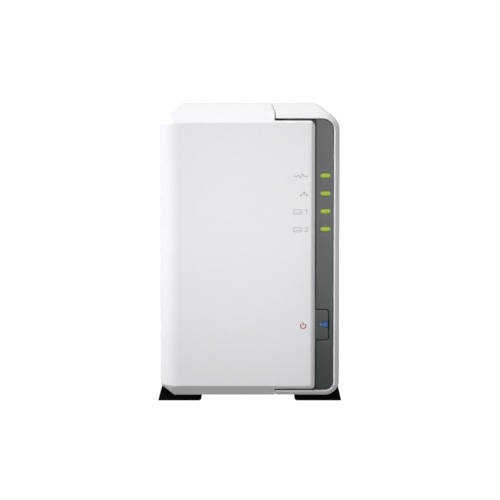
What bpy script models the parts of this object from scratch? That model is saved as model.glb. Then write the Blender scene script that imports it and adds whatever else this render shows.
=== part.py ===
"""Two-bay desktop network storage unit, closed, standing on four rubber feet.

The helpers work in millimetres and the finished objects are in metres.
Front faces -Y, +X is the viewer's right, +Z is up, origin on the floor under
the middle of the unit. The case is two plastic shells: the cover (front panel,
left side, left part of top and bottom) slides forwards off the base (right
side, right part of top and bottom), which carries everything else.
"""
import math

import bmesh
import bpy
from mathutils import Vector

# ---- driving dimensions, mm ------------------------------------------------
BODY_W, BODY_H, BODY_D = 100.6, 165.0, 225.5   # case width, height on feet, depth
SHELL_BOTTOM = 5.6          # underside of the shells above the floor
COVER_WALL = 2.6
BASE_WALL, BASE_TOP_WALL = 3.2, 3.45
FRONT_CHAMFER = 5.8         # cover, top and bottom front edges
LEFT_CHAMFER = 5.2          # cover, left front edge
LONG_CHAMFER = 6.5          # cover, long left edges
BASE_CORNER_R = 8.0         # base, long right edges
RIM_SETBACK = 2.5           # base rim behind the front panel's face
SEAM_X = 14.2               # where cover and base meet on top and bottom
SEAM_GAP = 0.4
PANEL_RIGHT = 36.5          # right edge of the front panel
PANEL_TOP, PANEL_BOTTOM = 160.45, 9.45  # panel tongue, right of the seam
PANEL_EDGE_R = 3.0
PANEL_CORNER_R = 2.1
BEZEL_FACE = -108.4
BEZEL_THICK = 2.2
LIGHT_X = 42.33
LIGHT_Z = (129.7, 119.65, 109.65, 99.65)
LIGHT_W, LIGHT_H = 5.9, 2.6
BUTTON_X = (32.9, 44.1)
BUTTON_Z = (37.4, 53.9)
BUTTON_TRAVEL = 1.0
POWER_LIGHT_Z = 45.65
VENT_COUNT, VENT_PITCH, VENT_W = 16, 7.0, 3.2
VENT_Z = (73.0, 113.0)
TAB_Y = (-69.0, 0.0, 62.0)  # interlocking tabs along the seam
FOOT_Y = (-79.5, 79.5)      # middle of the front and rear feet
FOOT_LENGTH = 25.0
FOOT_HALF_W = 52.4
REAR_PANEL_Y = (108.7, 110.7)
FAN_SIZE, FAN_DEPTH, FAN_Z = 92.0, 24.9, 108.0
FAN_HOLE = 41.25
FAN_Y = 83.5                # front face of the fan frame
DRIVE_X = (-38.3, -5.4)     # circuit-board side of each drive
DRIVE_T, DRIVE_W, DRIVE_L = 26.1, 101.6, 147.0
DRIVE_Y, DRIVE_Z = -97.0, 31.4
DRIVE_SCREW_Y = (-80.1, 21.5)
DRIVE_SCREW_X = 6.35
CAGE_X = (-40.4, 24.2)
CAGE_Y = (-99.0, 49.0)
CAGE_Z = (29.7, 134.7)
SHEET = 1.0
BOARD_X = (43.0, 44.6)      # main board, standing beside the right wall
BOARD_Y = (-30.0, 107.8)
BOARD_Z = (11.5, 60.0)
POST_YZ = ((-78.0, 65.0), (-78.0, 124.0), (38.0, 65.0), (38.0, 124.0))
STANDOFF_YZ = ((-24.0, 17.0), (-24.0, 54.0), (78.0, 17.0), (78.0, 54.0))
REAR_SCREW_Z = (158.6, 12.3)
RESET_XZ = (39.6, 39.3)

FRONT, REAR = -BODY_D / 2, BODY_D / 2
LEFT, RIGHT = -BODY_W / 2, BODY_W / 2
TOP, BOTTOM = BODY_H, SHELL_BOTTOM
MIRROR_Z = TOP + BOTTOM     # z -> MIRROR_Z - z swaps top and bottom
COVER_EDGE = SEAM_X - SEAM_GAP / 2
BASE_EDGE = SEAM_X + SEAM_GAP / 2
MM = 0.001

for old in list(bpy.data.objects):
    bpy.data.objects.remove(old, do_unlink=True)


# ---- shape helpers ---------------------------------------------------------
def loft(rings):
    """Closed solid through rings of equal point count."""
    bm = bmesh.new()
    rows = [[bm.verts.new(p) for p in ring] for ring in rings]
    count = len(rows[0])
    for low, high in zip(rows, rows[1:]):
        for i in range(count):
            j = (i + 1) % count
            bm.faces.new((low[i], low[j], high[j], high[i]))
    bm.faces.new(rows[0][::-1])
    bm.faces.new(rows[-1])
    bmesh.ops.recalc_face_normals(bm, faces=bm.faces)
    return bm


def lift(axis, u, v, t):
    return {"X": (t, u, v), "Y": (u, t, v), "Z": (u, v, t)}[axis]


def prism(outline, axis, a, b):
    """Outline swept along an axis: (y, z) along X, (x, z) along Y, (x, y) along Z."""
    return loft([[lift(axis, u, v, t) for u, v in outline] for t in (a, b)])


def box(x0, x1, y0, y1, z0, z1):
    return prism(((x0, y0), (x1, y0), (x1, y1), (x0, y1)), "Z", z0, z1)


def ring_points(u, v, r, n, start=0.0):
    step = 2 * math.pi / n
    return [(u + r * math.cos(start + step * k), v + r * math.sin(start + step * k)) for k in range(n)]


def rod(axis, u, v, r, a, b, n=12):
    return prism(ring_points(u, v, r, n, math.pi / n), axis, a, b)


def fillet(points, radii, seg):
    """Outline with its corners rounded; a radius of 0 keeps the corner."""
    out = []
    for i, (p, r) in enumerate(zip(points, radii)):
        b = Vector(p)
        if r <= 0:
            out.append(tuple(b))
            continue
        u = (Vector(points[i - 1]) - b).normalized()
        v = (Vector(points[(i + 1) % len(points)]) - b).normalized()
        half = math.acos(max(-1.0, min(1.0, u.dot(v)))) / 2
        centre = b + (u + v).normalized() * (r / math.sin(half))
        first, last = (b + w * (r / math.tan(half)) - centre for w in (u, v))
        a0 = math.atan2(first.y, first.x)
        turn = math.atan2(last.y, last.x) - a0
        turn = (turn + math.pi) % (2 * math.pi) - math.pi
        for k in range(seg + 1):
            a = a0 + turn * k / seg
            out.append((centre.x + r * math.cos(a), centre.y + r * math.sin(a)))
    return out


def rect(u0, u1, v0, v1):
    return [(u0, v0), (u1, v0), (u1, v1), (u0, v1)]


def rounded_rect(u0, u1, v0, v1, r, seg=3):
    return fillet(rect(u0, u1, v0, v1), (r,) * 4, seg)


def slot_outline(u, v, length, height, seg=3):
    """Round-ended slot lying along u."""
    return rounded_rect(u - length / 2, u + length / 2, v - height / 2, v + height / 2, height / 2 - 0.02, seg)


def merged(*solids):
    """Solids that stay clear of one another, as one mesh for a single Boolean."""
    out = bmesh.new()
    for bm in solids:
        index = {v: out.verts.new(v.co) for v in bm.verts}
        for f in bm.faces:
            out.faces.new([index[v] for v in f.verts])
        bm.free()
    return out


def helper(bm):
    mesh = bpy.data.meshes.new("helper")
    bm.to_mesh(mesh)
    bm.free()
    ob = bpy.data.objects.new("helper", mesh)
    bpy.context.scene.collection.objects.link(ob)
    return ob


def boolean(a, b, operation):
    first, second = helper(a), helper(b)
    mod = first.modifiers.new("boolean", "BOOLEAN")
    mod.operation, mod.solver, mod.object = operation, "EXACT", second
    bpy.context.view_layer.update()
    graph = bpy.context.evaluated_depsgraph_get()
    mesh = bpy.data.meshes.new_from_object(first.evaluated_get(graph))
    bm = bmesh.new()
    bm.from_mesh(mesh)
    for ob in (first, second):
        bpy.data.objects.remove(ob, do_unlink=True)
    bpy.data.meshes.remove(mesh)
    return bm


def cut(bm, *cutters):
    for c in cutters:
        bm = boolean(bm, c, "DIFFERENCE")
    return bm


def join(bm, *others):
    for o in others:
        bm = boolean(bm, o, "UNION")
    return bm


def sweep(path, r, n):
    """Round lead along a path of points."""
    path = [Vector(p) for p in path]
    rings = []
    side = Vector((1, 0, 0))
    for i, p in enumerate(path):
        along = (path[min(i + 1, len(path) - 1)] - path[max(i - 1, 0)]).normalized()
        side = (side - along * side.dot(along)).normalized()
        up = along.cross(side)
        rings.append([p + side * r * math.cos(2 * math.pi * k / n) + up * r * math.sin(2 * math.pi * k / n) for k in range(n)])
    return loft(rings)


# ---- materials -------------------------------------------------------------
def material(name, colour, roughness, metallic=0.0):
    mat = bpy.data.materials.new(name)
    mat.use_nodes = True
    bsdf = next(n for n in mat.node_tree.nodes if n.type == "BSDF_PRINCIPLED")
    bsdf.inputs["Base Color"].default_value = (*colour, 1.0)
    bsdf.inputs["Roughness"].default_value = roughness
    bsdf.inputs["Metallic"].default_value = metallic
    mat.diffuse_color = (*colour, 1.0)
    return mat


WHITE = material("white_plastic", (0.80, 0.80, 0.82), 0.45)
GREY = material("dark_grey_plastic", (0.14, 0.15, 0.155), 0.4)
RUBBER = material("black_rubber", (0.012, 0.012, 0.012), 0.7)
BLACK = material("black_plastic", (0.02, 0.02, 0.022), 0.5)
GREEN_LIGHT = material("green_light_pipe", (0.34, 0.50, 0.07), 0.25)
BLUE_LIGHT = material("blue_light_pipe", (0.05, 0.13, 0.35), 0.25)
STEEL = material("zinc_steel", (0.62, 0.63, 0.64), 0.35, 1.0)
SCREW = material("nickel_screw", (0.70, 0.69, 0.66), 0.3, 1.0)
PLATE = material("rear_panel_paint", (0.74, 0.74, 0.76), 0.5)
ALUMINIUM = material("cast_aluminium", (0.55, 0.56, 0.57), 0.45, 1.0)
SINK = material("anodised_aluminium", (0.35, 0.36, 0.38), 0.4, 1.0)
PCB = material("circuit_board", (0.02, 0.16, 0.07), 0.45)
SHIELD = material("tinned_shield", (0.70, 0.70, 0.70), 0.28, 1.0)
CELL = material("coin_cell_steel", (0.72, 0.72, 0.72), 0.25, 1.0)
LEAD = material("lead_jacket", (0.03, 0.03, 0.03), 0.55)
RIBBON = material("flat_cable", (0.75, 0.76, 0.78), 0.4)

unit = bpy.data.objects.new("storage_unit", None)
bpy.context.scene.collection.objects.link(unit)


def put(name, mesh, mat, origin):
    ob = bpy.data.objects.new(name, mesh)
    bpy.context.scene.collection.objects.link(ob)
    if not mesh.materials:
        mesh.materials.append(mat)
    ob.parent = unit
    ob.location = Vector(origin) * MM
    return ob


def part(name, bm, mat, origin=None, sharp=32.0):
    """Named piece from a solid in millimetres, its own origin at the given point."""
    bmesh.ops.remove_doubles(bm, verts=bm.verts, dist=1e-5)
    if origin is None:
        los, his = ([f(v.co[k] for v in bm.verts) for k in range(3)] for f in (min, max))
        origin = [(a + b) / 2 for a, b in zip(los, his)]
    for v in bm.verts:
        v.co = (v.co - Vector(origin)) * MM
    mesh = bpy.data.meshes.new(name)
    bm.to_mesh(mesh)
    bm.free()
    mesh.shade_smooth()
    mesh.set_sharp_from_angle(angle=math.radians(sharp))
    return put(name, mesh, mat, origin)


# ---- case edge profiles ----------------------------------------------------
def chamfer_curve(size, r_side, r_face, seg):
    """(inset, depth) points from the side wall round a 45 degree chamfer to the face."""
    lead = math.tan(math.radians(22.5))
    points = []
    for k in range(seg + 1):
        a = math.radians(180 + 45 * k / seg)
        points.append((r_side + r_side * math.cos(a), size + lead * r_side + r_side * math.sin(a)))
    for k in range(seg + 1):
        a = math.radians(225 + 45 * k / seg)
        points.append((size + lead * r_face + r_face * math.cos(a), r_face + r_face * math.sin(a)))
    return points


def round_curve(r, seg):
    return [(r - r * math.cos(math.pi / 2 * k / seg), r - r * math.sin(math.pi / 2 * k / seg)) for k in range(seg + 1)]


def inset_at(curve, depth):
    if depth >= curve[0][1]:
        return 0.0
    for (i0, d0), (i1, d1) in zip(curve, curve[1:]):
        if d0 >= depth >= d1:
            return i0 if d0 == d1 else i0 + (i1 - i0) * (d0 - depth) / (d0 - d1)
    return curve[-1][0]


def depths_of(*curves, spacing=0.12):
    out = []
    for d in sorted({max(0.0, p[1]) for c in curves for p in c}, reverse=True):
        if not out or out[-1] - d > spacing:
            out.append(d)
    if out[-1] > 0.0:
        out[-1] = 0.0
    return out


def cover_ring(y, x_right, level, left, corner_r=0.8, seg=1):
    """Cover outline at one depth, inset from top and bottom by `level` and from the left by `left`."""
    c = LONG_CHAMFER
    run = max(left, left + level - c + 0.3)     # how far the slanted corner has moved in along x
    points = [
        (x_right, BOTTOM + level),
        (x_right, TOP - level),
        (LEFT + c - level + run, TOP - level),
        (LEFT + left, TOP - c + left - run),
        (LEFT + left, BOTTOM + c + run - left),
        (LEFT + c + run - level, BOTTOM + level),
    ]
    r = min(corner_r, 1.5 * (c + run - level - left))
    return [(x, y, z) for x, z in fillet(points, (0, 0) + (r,) * 4, seg)]


def base_ring(y, inset, seg, x_left=BASE_EDGE):
    r = BASE_CORNER_R - inset
    points = [(x_left, BOTTOM + inset), (RIGHT - inset, BOTTOM + inset), (RIGHT - inset, TOP - inset), (x_left, TOP - inset)]
    return [(x, y, z) for x, z in fillet(points, (0, r, r, 0), seg)]


def vents(x0, x1):
    """Row of upright round-ended slots through a side wall."""
    first = -(VENT_COUNT - 1) * VENT_PITCH / 2
    mid, tall = (VENT_Z[0] + VENT_Z[1]) / 2, VENT_Z[1] - VENT_Z[0]
    return merged(*[
        prism([(first + k * VENT_PITCH + v, mid + u) for u, v in slot_outline(0, 0, tall, VENT_W, 2)], "X", x0, x1)
        for k in range(VENT_COUNT)
    ])


def flipped(points):
    return [(x, MIRROR_Z - z) for x, z in points]


# ---- cover -----------------------------------------------------------------
def make_cover():
    edge = chamfer_curve(FRONT_CHAMFER, 1.4, 1.0, 2)
    left = chamfer_curve(LEFT_CHAMFER, 2.0, 8.0, 4)
    right = round_curve(PANEL_EDGE_R, 4)
    rings = [cover_ring(REAR, PANEL_RIGHT, 0.7, 0.7), cover_ring(REAR - 0.7, PANEL_RIGHT, 0.0, 0.0)]
    for d in depths_of(edge, left, right):
        rings.append(cover_ring(FRONT + d, PANEL_RIGHT - inset_at(right, d), inset_at(edge, d), inset_at(left, d)))
    bm = loft(rings)
    # tongue right of the seam: lower than the case, rounded at its right corners, and only as deep as the panel
    r = PANEL_CORNER_R
    upper = [(COVER_EDGE, 175), (COVER_EDGE, PANEL_TOP)]
    upper += [(PANEL_RIGHT - r + r * math.sin(a), PANEL_TOP - r + r * math.cos(a)) for a in (math.pi / 2 * k / 3 for k in range(4))]
    upper += [(45, PANEL_TOP - r), (45, 175)]
    shift = PANEL_TOP + PANEL_BOTTOM
    lower = [(x, shift - z) for x, z in upper]
    bm = cut(bm, prism(upper, "Y", -130, 130), prism(lower, "Y", -130, 130))
    bm = cut(bm, box(COVER_EDGE, 45, FRONT + 3.85, 130, -5, 180))
    # hollow
    wall = COVER_WALL
    deep = 0.414 * wall
    hollow = loft([
        cover_ring(FRONT + wall, SEAM_X + 0.4, FRONT_CHAMFER + deep, LEFT_CHAMFER + deep + 0.5),
        cover_ring(FRONT + FRONT_CHAMFER + deep, SEAM_X + 0.4, wall, wall),
        cover_ring(REAR + 6, SEAM_X + 0.4, wall, wall),
    ])
    bm = cut(bm, hollow, box(SEAM_X + 0.1, PANEL_RIGHT - 2.0, FRONT + wall + 0.1, FRONT + 8, PANEL_BOTTOM + 2.0, PANEL_TOP - 2.0))
    # tabs along the seam that hook behind the base's keepers, and rear screw bosses
    tab = [(9, 162.9), (9, 158.8), (17.3, 158.8), (17.3, 155.4), (19.5, 155.4), (19.5, 161.2), (13.6, 161.2), (13.6, 162.9)]
    bosses = rect(-33, -25, 155.2, 162.9)
    extra = []
    for shape in (tab, flipped(tab)):
        extra += [prism(shape, "Y", y - 6, y + 6) for y in TAB_Y]
    for shape in (bosses, flipped(bosses)):
        extra.append(prism(shape, "Y", 98.5, 108.3))
    bm = join(bm, merged(*extra))
    holes = [rod("Y", -29, z, 1.65, 100.5, 115, 10) for z in REAR_SCREW_Z]
    return part("cover_shell", cut(bm, merged(*holes, vents(LEFT - 4, LEFT + 5))), WHITE, (0, 0, (TOP + BOTTOM) / 2))


# ---- base shell ------------------------------------------------------------
def make_base():
    edge = chamfer_curve(2.1, 0.9, 0.5, 2)
    rim = FRONT + RIM_SETBACK
    rings = [base_ring(REAR, 0.7, 5), base_ring(REAR - 0.7, 0.0, 5)]
    rings += [base_ring(rim + d, i, 5) for i, d in edge]
    bm = loft(rings)
    r = BASE_CORNER_R - BASE_WALL
    inside = fillet(rect(5.0, RIGHT - BASE_WALL, BOTTOM + BASE_WALL, TOP - BASE_TOP_WALL), (0, r, r, 0), 5)
    bm = cut(bm, prism(inside, "Y", -130, 130))
    keeper = [(14.9, 158.1), (14.9, 152.6), (23.6, 152.6), (23.6, 162.6), (21.6, 162.6), (21.6, 154.4), (16.6, 154.4), (16.6, 158.1)]
    extra = []
    for shape in (keeper, flipped(keeper)):
        extra += [prism(shape, "Y", y - 7, y + 7) for y in TAB_Y]
    extra += [prism(rect(32, 40, 155.2, 162.6), "Y", 98.5, 108.3), prism(flipped(rect(16, 24, 155.2, 162.6))[::-1], "Y", 98.5, 108.3)]
    extra += [rod("X", y, z, 4.0, 24.5, 48.0) for y, z in POST_YZ]
    extra += [rod("X", y, z, 3.0, 44.9, 48.0) for y, z in STANDOFF_YZ]
    extra += [box(44.6, 47.5, -105.9, -103.9, a, b) for a, b in ((60, 66), (138, 146))]
    bm = join(bm, merged(*extra))
    holes = [rod("X", y, z, 1.75, 20, 36, 10) for y, z in POST_YZ]
    holes += [rod("X", y, z, 1.75, 40, 48.4, 10) for y, z in STANDOFF_YZ]
    holes += [rod("Y", 36, REAR_SCREW_Z[0], 1.65, 100.5, 115, 10), rod("Y", 20, REAR_SCREW_Z[1], 1.65, 100.5, 115, 10)]
    return part("base_shell", cut(bm, merged(*holes, vents(RIGHT - 5, RIGHT + 4))), WHITE)


# ---- feet ------------------------------------------------------------------
def make_feet():
    slope = 0.284
    slant = BOTTOM + LEFT + LONG_CHAMFER - 0.42      # x + z just under the cover's long chamfer
    apex = (slant + FOOT_HALF_W) / (1 + slope)
    left = fillet(
        [(-FOOT_HALF_W, 0), (-27.5, 0), (-27.5, BOTTOM - 0.3), (slant - BOTTOM + 0.3, BOTTOM - 0.3), (slant - apex, apex)],
        (0.3, 1.6, 0, 0, 0), 3)
    cx, cz, r = RIGHT - BASE_CORNER_R, BOTTOM + BASE_CORNER_R, BASE_CORNER_R + 0.3
    arc = [(cx + r * math.cos(math.radians(a)), cz + r * math.sin(math.radians(a))) for a in (-22.7, -36, -50, -63, -76, -90)]
    right = fillet(
        [(FOOT_HALF_W, 0)] + arc + [(25.5, BOTTOM - 0.3), (25.5, 0)], (0.3,) + (0,) * 7 + (1.6,), 3)
    for side, outline, x in (("left", left, -40.0), ("right", right, 40.0)):
        first = None
        for place, y in zip(("front", "rear"), FOOT_Y):
            name = f"foot_{place}_{side}"
            if first is None:
                half = FOOT_LENGTH / 2
                first = part(name, prism(outline, "Y", y - half, y + half), RUBBER, (x, y, 0))
            else:
                put(name, first.data, RUBBER, (x, y, 0))


# ---- front bezel, lights, power button --------------------------------------
def make_front():
    back = BEZEL_FACE + BEZEL_THICK
    outline = fillet(rect(20.2, 46.75, 9.15, 161.2), (0.5, 4.5, 4.5, 0.5), 4)   # clear of the cover's tabs
    bm = prism(outline, "Y", BEZEL_FACE, back)
    pegs = [(41.2, 66.0), (41.2, 88.0)]
    bm = join(bm, merged(*[rod("Y", x, z, 2.5, back - 0.5, -97.5) for x, z in pegs]))
    bm = join(bm, merged(*[rod("Y", x, z, 1.2, -98.5, -94.8, 8) for x, z in pegs]))
    holes = [prism(slot_outline(LIGHT_X, z, LIGHT_W + 0.5, LIGHT_H + 0.5), "Y", -115, -100) for z in LIGHT_Z]
    opening = fillet(rect(32.4, 44.8, 36.8, 54.5), (0.6, 1.9, 1.9, 0.6), 3)
    part("front_bezel", cut(bm, merged(*holes, prism(opening, "Y", -115, -104))), GREY)

    first = None
    for name, z in zip(("status_light_pipe", "network_light_pipe", "drive_1_light_pipe", "drive_2_light_pipe"), LIGHT_Z):
        if first is None:
            pipe = prism(slot_outline(LIGHT_X, z, LIGHT_W, LIGHT_H), "Y", BEZEL_FACE - 0.1, -98.9)
            pipe = join(pipe, prism(slot_outline(LIGHT_X, z, LIGHT_W + 1.6, LIGHT_H + 1.6), "Y", back + 0.3, back + 1.5))
            first = part(name, pipe, GREEN_LIGHT, (LIGHT_X, BEZEL_FACE, z))
        else:
            put(name, first.data, GREEN_LIGHT, (LIGHT_X, BEZEL_FACE, z))

    cap = prism(fillet(rect(*BUTTON_X, *BUTTON_Z), (0.5, 1.5, 1.5, 0.5), 3), "Y", BEZEL_FACE, -104.5)
    cap = join(cap, prism(rounded_rect(31.8, 45.4, 36.2, 55.1, 1.0, 1), "Y", back + 0.4, -104.4), rod("Y", 40.2, 51.1, 2.0, -105.0, -103.6))
    lens = [(39.3, 45.0), (43.9, 44.0), (43.9, 47.5), (39.3, 46.3)]
    notch = [(38.95, 44.77), (47.0, 43.02), (47.0, 48.62), (38.95, 46.52)]
    part("power_button", cut(cap, prism(notch, "Y", -115, -100)), GREY, (40.2, BEZEL_FACE, POWER_LIGHT_Z))
    part("power_button_lens", prism(fillet(lens, (0.5, 0.2, 0.2, 0.5), 2), "Y", BEZEL_FACE - 0.05, -104.4), BLUE_LIGHT, (40.2, BEZEL_FACE, POWER_LIGHT_Z))

    switch = box(37.2, 43.2, -101.0, -97.5, 48.1, 54.1)
    part("power_switch", join(switch, rod("Y", 40.2, 51.1, 1.7, -102.4, -100.5)), BLACK)

    board = box(36.5, 45.8, -97.2, -95.6, 34, 136)
    parts_on = [box(LIGHT_X - 1.6, LIGHT_X + 1.6, -98.4, -96.5, z - 0.8, z + 0.8) for z in LIGHT_Z + (POWER_LIGHT_Z,)]
    parts_on += [box(38, 44, -96.2, -92.8, 36, 48), box(38.5, 41.5, -96.2, -94.9, 72, 78), box(38.5, 40.5, -96.2, -94.9, 104, 108)]
    board = join(board, merged(*parts_on))
    part("led_board", cut(board, merged(*[rod("Y", x, z, 1.6, -99, -94, 8) for x, z in pegs])), PCB)

    ribbon = [(40.6, -92.5), (40.6, -86.0), (41.3, -74.0), (41.3, -29.6), (41.8, -29.6), (41.8, -74.1), (41.1, -86.1), (41.1, -92.5)]
    part("led_board_cable", prism(ribbon, "Z", 37.0, 47.0), RIBBON)


# ---- drives and their cage -------------------------------------------------
def make_drives():
    inner = box(CAGE_X[0] + SHEET, CAGE_X[1] - SHEET, -120, 70, CAGE_Z[0] + SHEET, CAGE_Z[1] - SHEET)
    cage = cut(box(*CAGE_X, *CAGE_Y, *CAGE_Z), inner)
    side_windows = [prism(rounded_rect(-66, 26, 46, 118, 5, 2), "X", -44, -34), prism(rounded_rect(-68, 28, 50, 112, 5, 2), "X", 18, 30)]
    lid_windows = []
    for x in DRIVE_X:
        for z in (CAGE_Z[0], CAGE_Z[1]):
            lid_windows.append(prism(rounded_rect(x + 4, x + 22, -68, 10, 4, 2), "Z", z - 4, z + 4))
            lid_windows += [rod("Z", x + DRIVE_SCREW_X, y, 2.1, z - 4, z + 4, 10) for y in DRIVE_SCREW_Y]
    cage = cut(cage, merged(*side_windows), merged(*lid_windows))
    cage = cut(cage, merged(*[rod("X", y, z, 1.75, 20, 30, 10) for y, z in POST_YZ]))
    part("drive_cage", cage, STEEL)

    y0, y1, z0, z1 = DRIVE_Y, DRIVE_Y + DRIVE_L, DRIVE_Z, DRIVE_Z + DRIVE_W
    for n, x in enumerate(DRIVE_X, 1):
        body = prism(rounded_rect(y0, y1, z0, z1, 3, 2), "X", x + 1.9, x + DRIVE_T - 1.2)
        lid = fillet([(y0 + 3, z0 + 4), (y1 - 30, z0 + 4), (y1 - 6, z0 + 22), (y1 - 6, z1 - 4), (y0 + 3, z1 - 4)], (4, 10, 6, 6, 4), 2)
        body = join(body, prism(lid, "X", x + DRIVE_T - 2.0, x + DRIVE_T))
        notch = box(x - 1, x + 8.2, 44.5, 55, 43, 88)
        threads = [rod("Z", x + DRIVE_SCREW_X, y, 1.75, a, b, 10) for y in DRIVE_SCREW_Y for a, b in ((z0 - 2, z0 + 5), (z1 - 5, z1 + 2))]
        part(f"hard_drive_{n}", cut(body, notch, merged(*threads)), ALUMINIUM)
        board = join(box(x + 0.3, x + 1.6, -38, 43.5, 40, 122), merged(box(x - 0.6, x + 0.8, -10, 4, 74, 88), box(x - 0.4, x + 0.8, 14, 22, 66, 76), box(x - 0.4, x + 0.8, 12, 20, 98, 106)))
        part(f"hard_drive_{n}_board", board, PCB)
        # socket of the drive connector on the link board
        socket = cut(box(x + 2.4, x + 7.6, 45.3, 56.2, 44.5, 86.5), merged(box(x + 4.0, x + 5.6, 44, 50, 46, 63), box(x + 4.0, x + 5.6, 44, 50, 65, 85)))
        part(f"sata_socket_{n}", socket, BLACK)

    link = prism([(-37, 38), (39.6, 38), (39.6, 54), (31, 54), (31, 120), (-37, 120)], "Y", 56.5, 58.1)
    link = cut(link, merged(prism(rounded_rect(-26, -8, 48, 112, 4, 2), "Y", 50, 65), prism(rounded_rect(8, 26, 60, 112, 4, 2), "Y", 50, 65)))
    part("sata_link_board", link, PCB)


# ---- main board and rear sockets -------------------------------------------
def make_board():
    x0, x1 = BOARD_X
    board = box(x0, x1, *BOARD_Y, *BOARD_Z)
    chips = [box(41.8, x0 + 0.3, -2, 22, 24, 48), box(40.4, x0 + 0.3, -29, -25.5, 35.5, 47.5), box(41.9, x0 + 0.3, 30, 42, 15, 25),
             box(41.9, x0 + 0.3, 46, 58, 15, 25), box(40.0, x0 + 0.3, 64, 71, 38, 45), box(41.7, x0 + 0.3, 80, 87, 30, 37)]
    chips += [rod("X", y, z, 3.0, 34.5, x0 + 0.3, 10) for y, z in ((68.5, 18.0), (84.0, 46.0))]
    chips.append(rod("X", 40.0, 45.0, 11.4, 39.0, x0 + 0.3, 20))
    board = join(board, merged(*chips))
    holes = [rod("X", y, z, 1.75, 30, 50, 10) for y, z in STANDOFF_YZ]
    holes.append(rod("X", 40.0, 45.0, 10.4, 30, 42.7, 20))
    part("main_board", cut(board, merged(*holes)), PCB)
    part("coin_cell", rod("X", 40.0, 45.0, 10.05, 39.3, 42.4, 20), CELL)

    sink = box(39.0, 41.5, -5, 25, 21, 51)
    fins = [box(29.5, 39.5, -5 + k * 4.08, -5 + k * 4.08 + 1.4, 21, 51) for k in range(1, 7)]
    fins += [box(29.5, 39.5, -4.99, -3.6, 21.0, 51.0), box(29.5, 39.5, 23.6, 24.99, 21.0, 51.0)]
    part("cpu_heat_sink", join(sink, merged(*fins)), SINK)

    slot = cut(box(35, 42.7, 53.9, 60.7, 35.5, 56.5), box(30, 40.1, 56.1, 58.5, 37.5, 54.5))
    part("link_board_slot", slot, BLACK)

    jack = box(29.2, 42.7, 89, 110.9, 42.6, 58.6)
    mouth = [(31.6, 44.7), (40.4, 44.7), (40.4, 56.5), (31.6, 56.5), (31.6, 53.6), (30.2, 53.6), (30.2, 47.6), (31.6, 47.6)]
    part("lan_jack", cut(jack, prism(mouth, "Y", 97.5, 120)), SHIELD)

    usb = box(27.8, 42.7, 92, 110.9, 22.4, 36)
    usb = cut(usb, merged(*[box(a, a + 5.2, 96, 120, 23.2, 35.2) for a in (29.2, 36.2)]))
    part("usb_jack", join(usb, merged(*[box(a, a + 1.9, 95, 108.9, 23.8, 34.6) for a in (30.3, 37.3)])), SHIELD)

    dc = cut(box(31.8, 42.7, 95, 110.9, 12.0, 20.4), rod("Y", 37.25, 16.2, 3.2, 99, 120, 16))
    part("dc_power_jack", join(dc, rod("Y", 37.25, 16.2, 1.0, 98, 109.4, 8)), BLACK)

    rx, rz = RESET_XZ
    switch = cut(box(37.2, 42.7, 97, 104.5, 37.2, 41.4), rod("Y", rx, rz, 1.4, 101.4, 110, 12))
    part("reset_switch", switch, BLACK)
    part("reset_button", rod("Y", rx, rz, 1.0, 102.3, 108.2, 12), BLACK, (rx, 108.2, rz))


# ---- fan -------------------------------------------------------------------
def make_fan():
    h, y0, y1 = FAN_SIZE / 2, FAN_Y, FAN_Y + FAN_DEPTH
    square = rounded_rect(-h, h, FAN_Z - h, FAN_Z + h, 4, 2)
    frame = join(rod("Y", 0, FAN_Z, 45.8, y0 + 0.02, y1 - 0.02, 32), merged(prism(square, "Y", y0, y0 + 4), prism(square, "Y", y1 - 4, y1)))
    frame = cut(frame, rod("Y", 0, FAN_Z, 44.0, y0 - 9, y1 + 9, 32))
    hub = rod("Y", 0, FAN_Z, 17.0, 104.6, y1 - 0.1, 20)
    arms = merged(*[
        prism([(math.cos(a) * u - math.sin(a) * v, FAN_Z + math.sin(a) * u + math.cos(a) * v) for u, v in rect(15, 44.8, -2.2, 2.2)], "Y", 105.2, y1 - 0.3)
        for a in (math.pi / 2 * k + math.pi / 4 for k in range(4))
    ])
    frame = join(frame, hub, arms, rod("Y", 0, FAN_Z, 1.8, 93.0, 105.5, 10))
    holes = [rod("Y", sx * FAN_HOLE, FAN_Z + sz * FAN_HOLE, 2.2, y0 - 5, y1 + 5, 10) for sx in (-1, 1) for sz in (-1, 1)]
    part("fan_frame", cut(frame, merged(*holes)), BLACK, (0, y1, FAN_Z))

    blades = []
    for k in range(7):
        turn = 2 * math.pi * k / 7
        rings = []
        for r in (16.0, 24.0, 33.5, 42.6):
            t = (r - 16.0) / 26.6
            a0, a1 = turn + 0.16 * t, turn + 0.62 - 0.02 * t
            rings.append([
                (r * math.cos(a), y, FAN_Z + r * math.sin(a))
                for a, y in ((a0, 100.8), (a0 * 0.5 + a1 * 0.5, 96.2), (a1, 89.2), (a1, 90.6), (a0 * 0.5 + a1 * 0.5, 97.9), (a0, 102.2))
            ])
        blades.append(loft(rings))
    rotor = rod("Y", 0, FAN_Z, 17.4, 86.5, 103.9, 24)
    for blade in blades:
        rotor = join(rotor, blade)
    part("fan_rotor", cut(rotor, rod("Y", 0, FAN_Z, 2.3, 92.0, 110, 10)), BLACK, (0, 95, FAN_Z))

    part("fan_lead", sweep([(34, 83.2, 66.5), (34, 80.5, 66.3), (34.2, 78.2, 64.6), (35, 76.2, 60), (36.5, 74.2, 52), (38.2, 72.6, 43), (39.2, 71.8, 37), (39.4, 71.5, 32.3)], 1.3, 7), LEAD)
    part("fan_plug", box(36.4, 42.7, 67, 76, 26, 32), BLACK)


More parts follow.
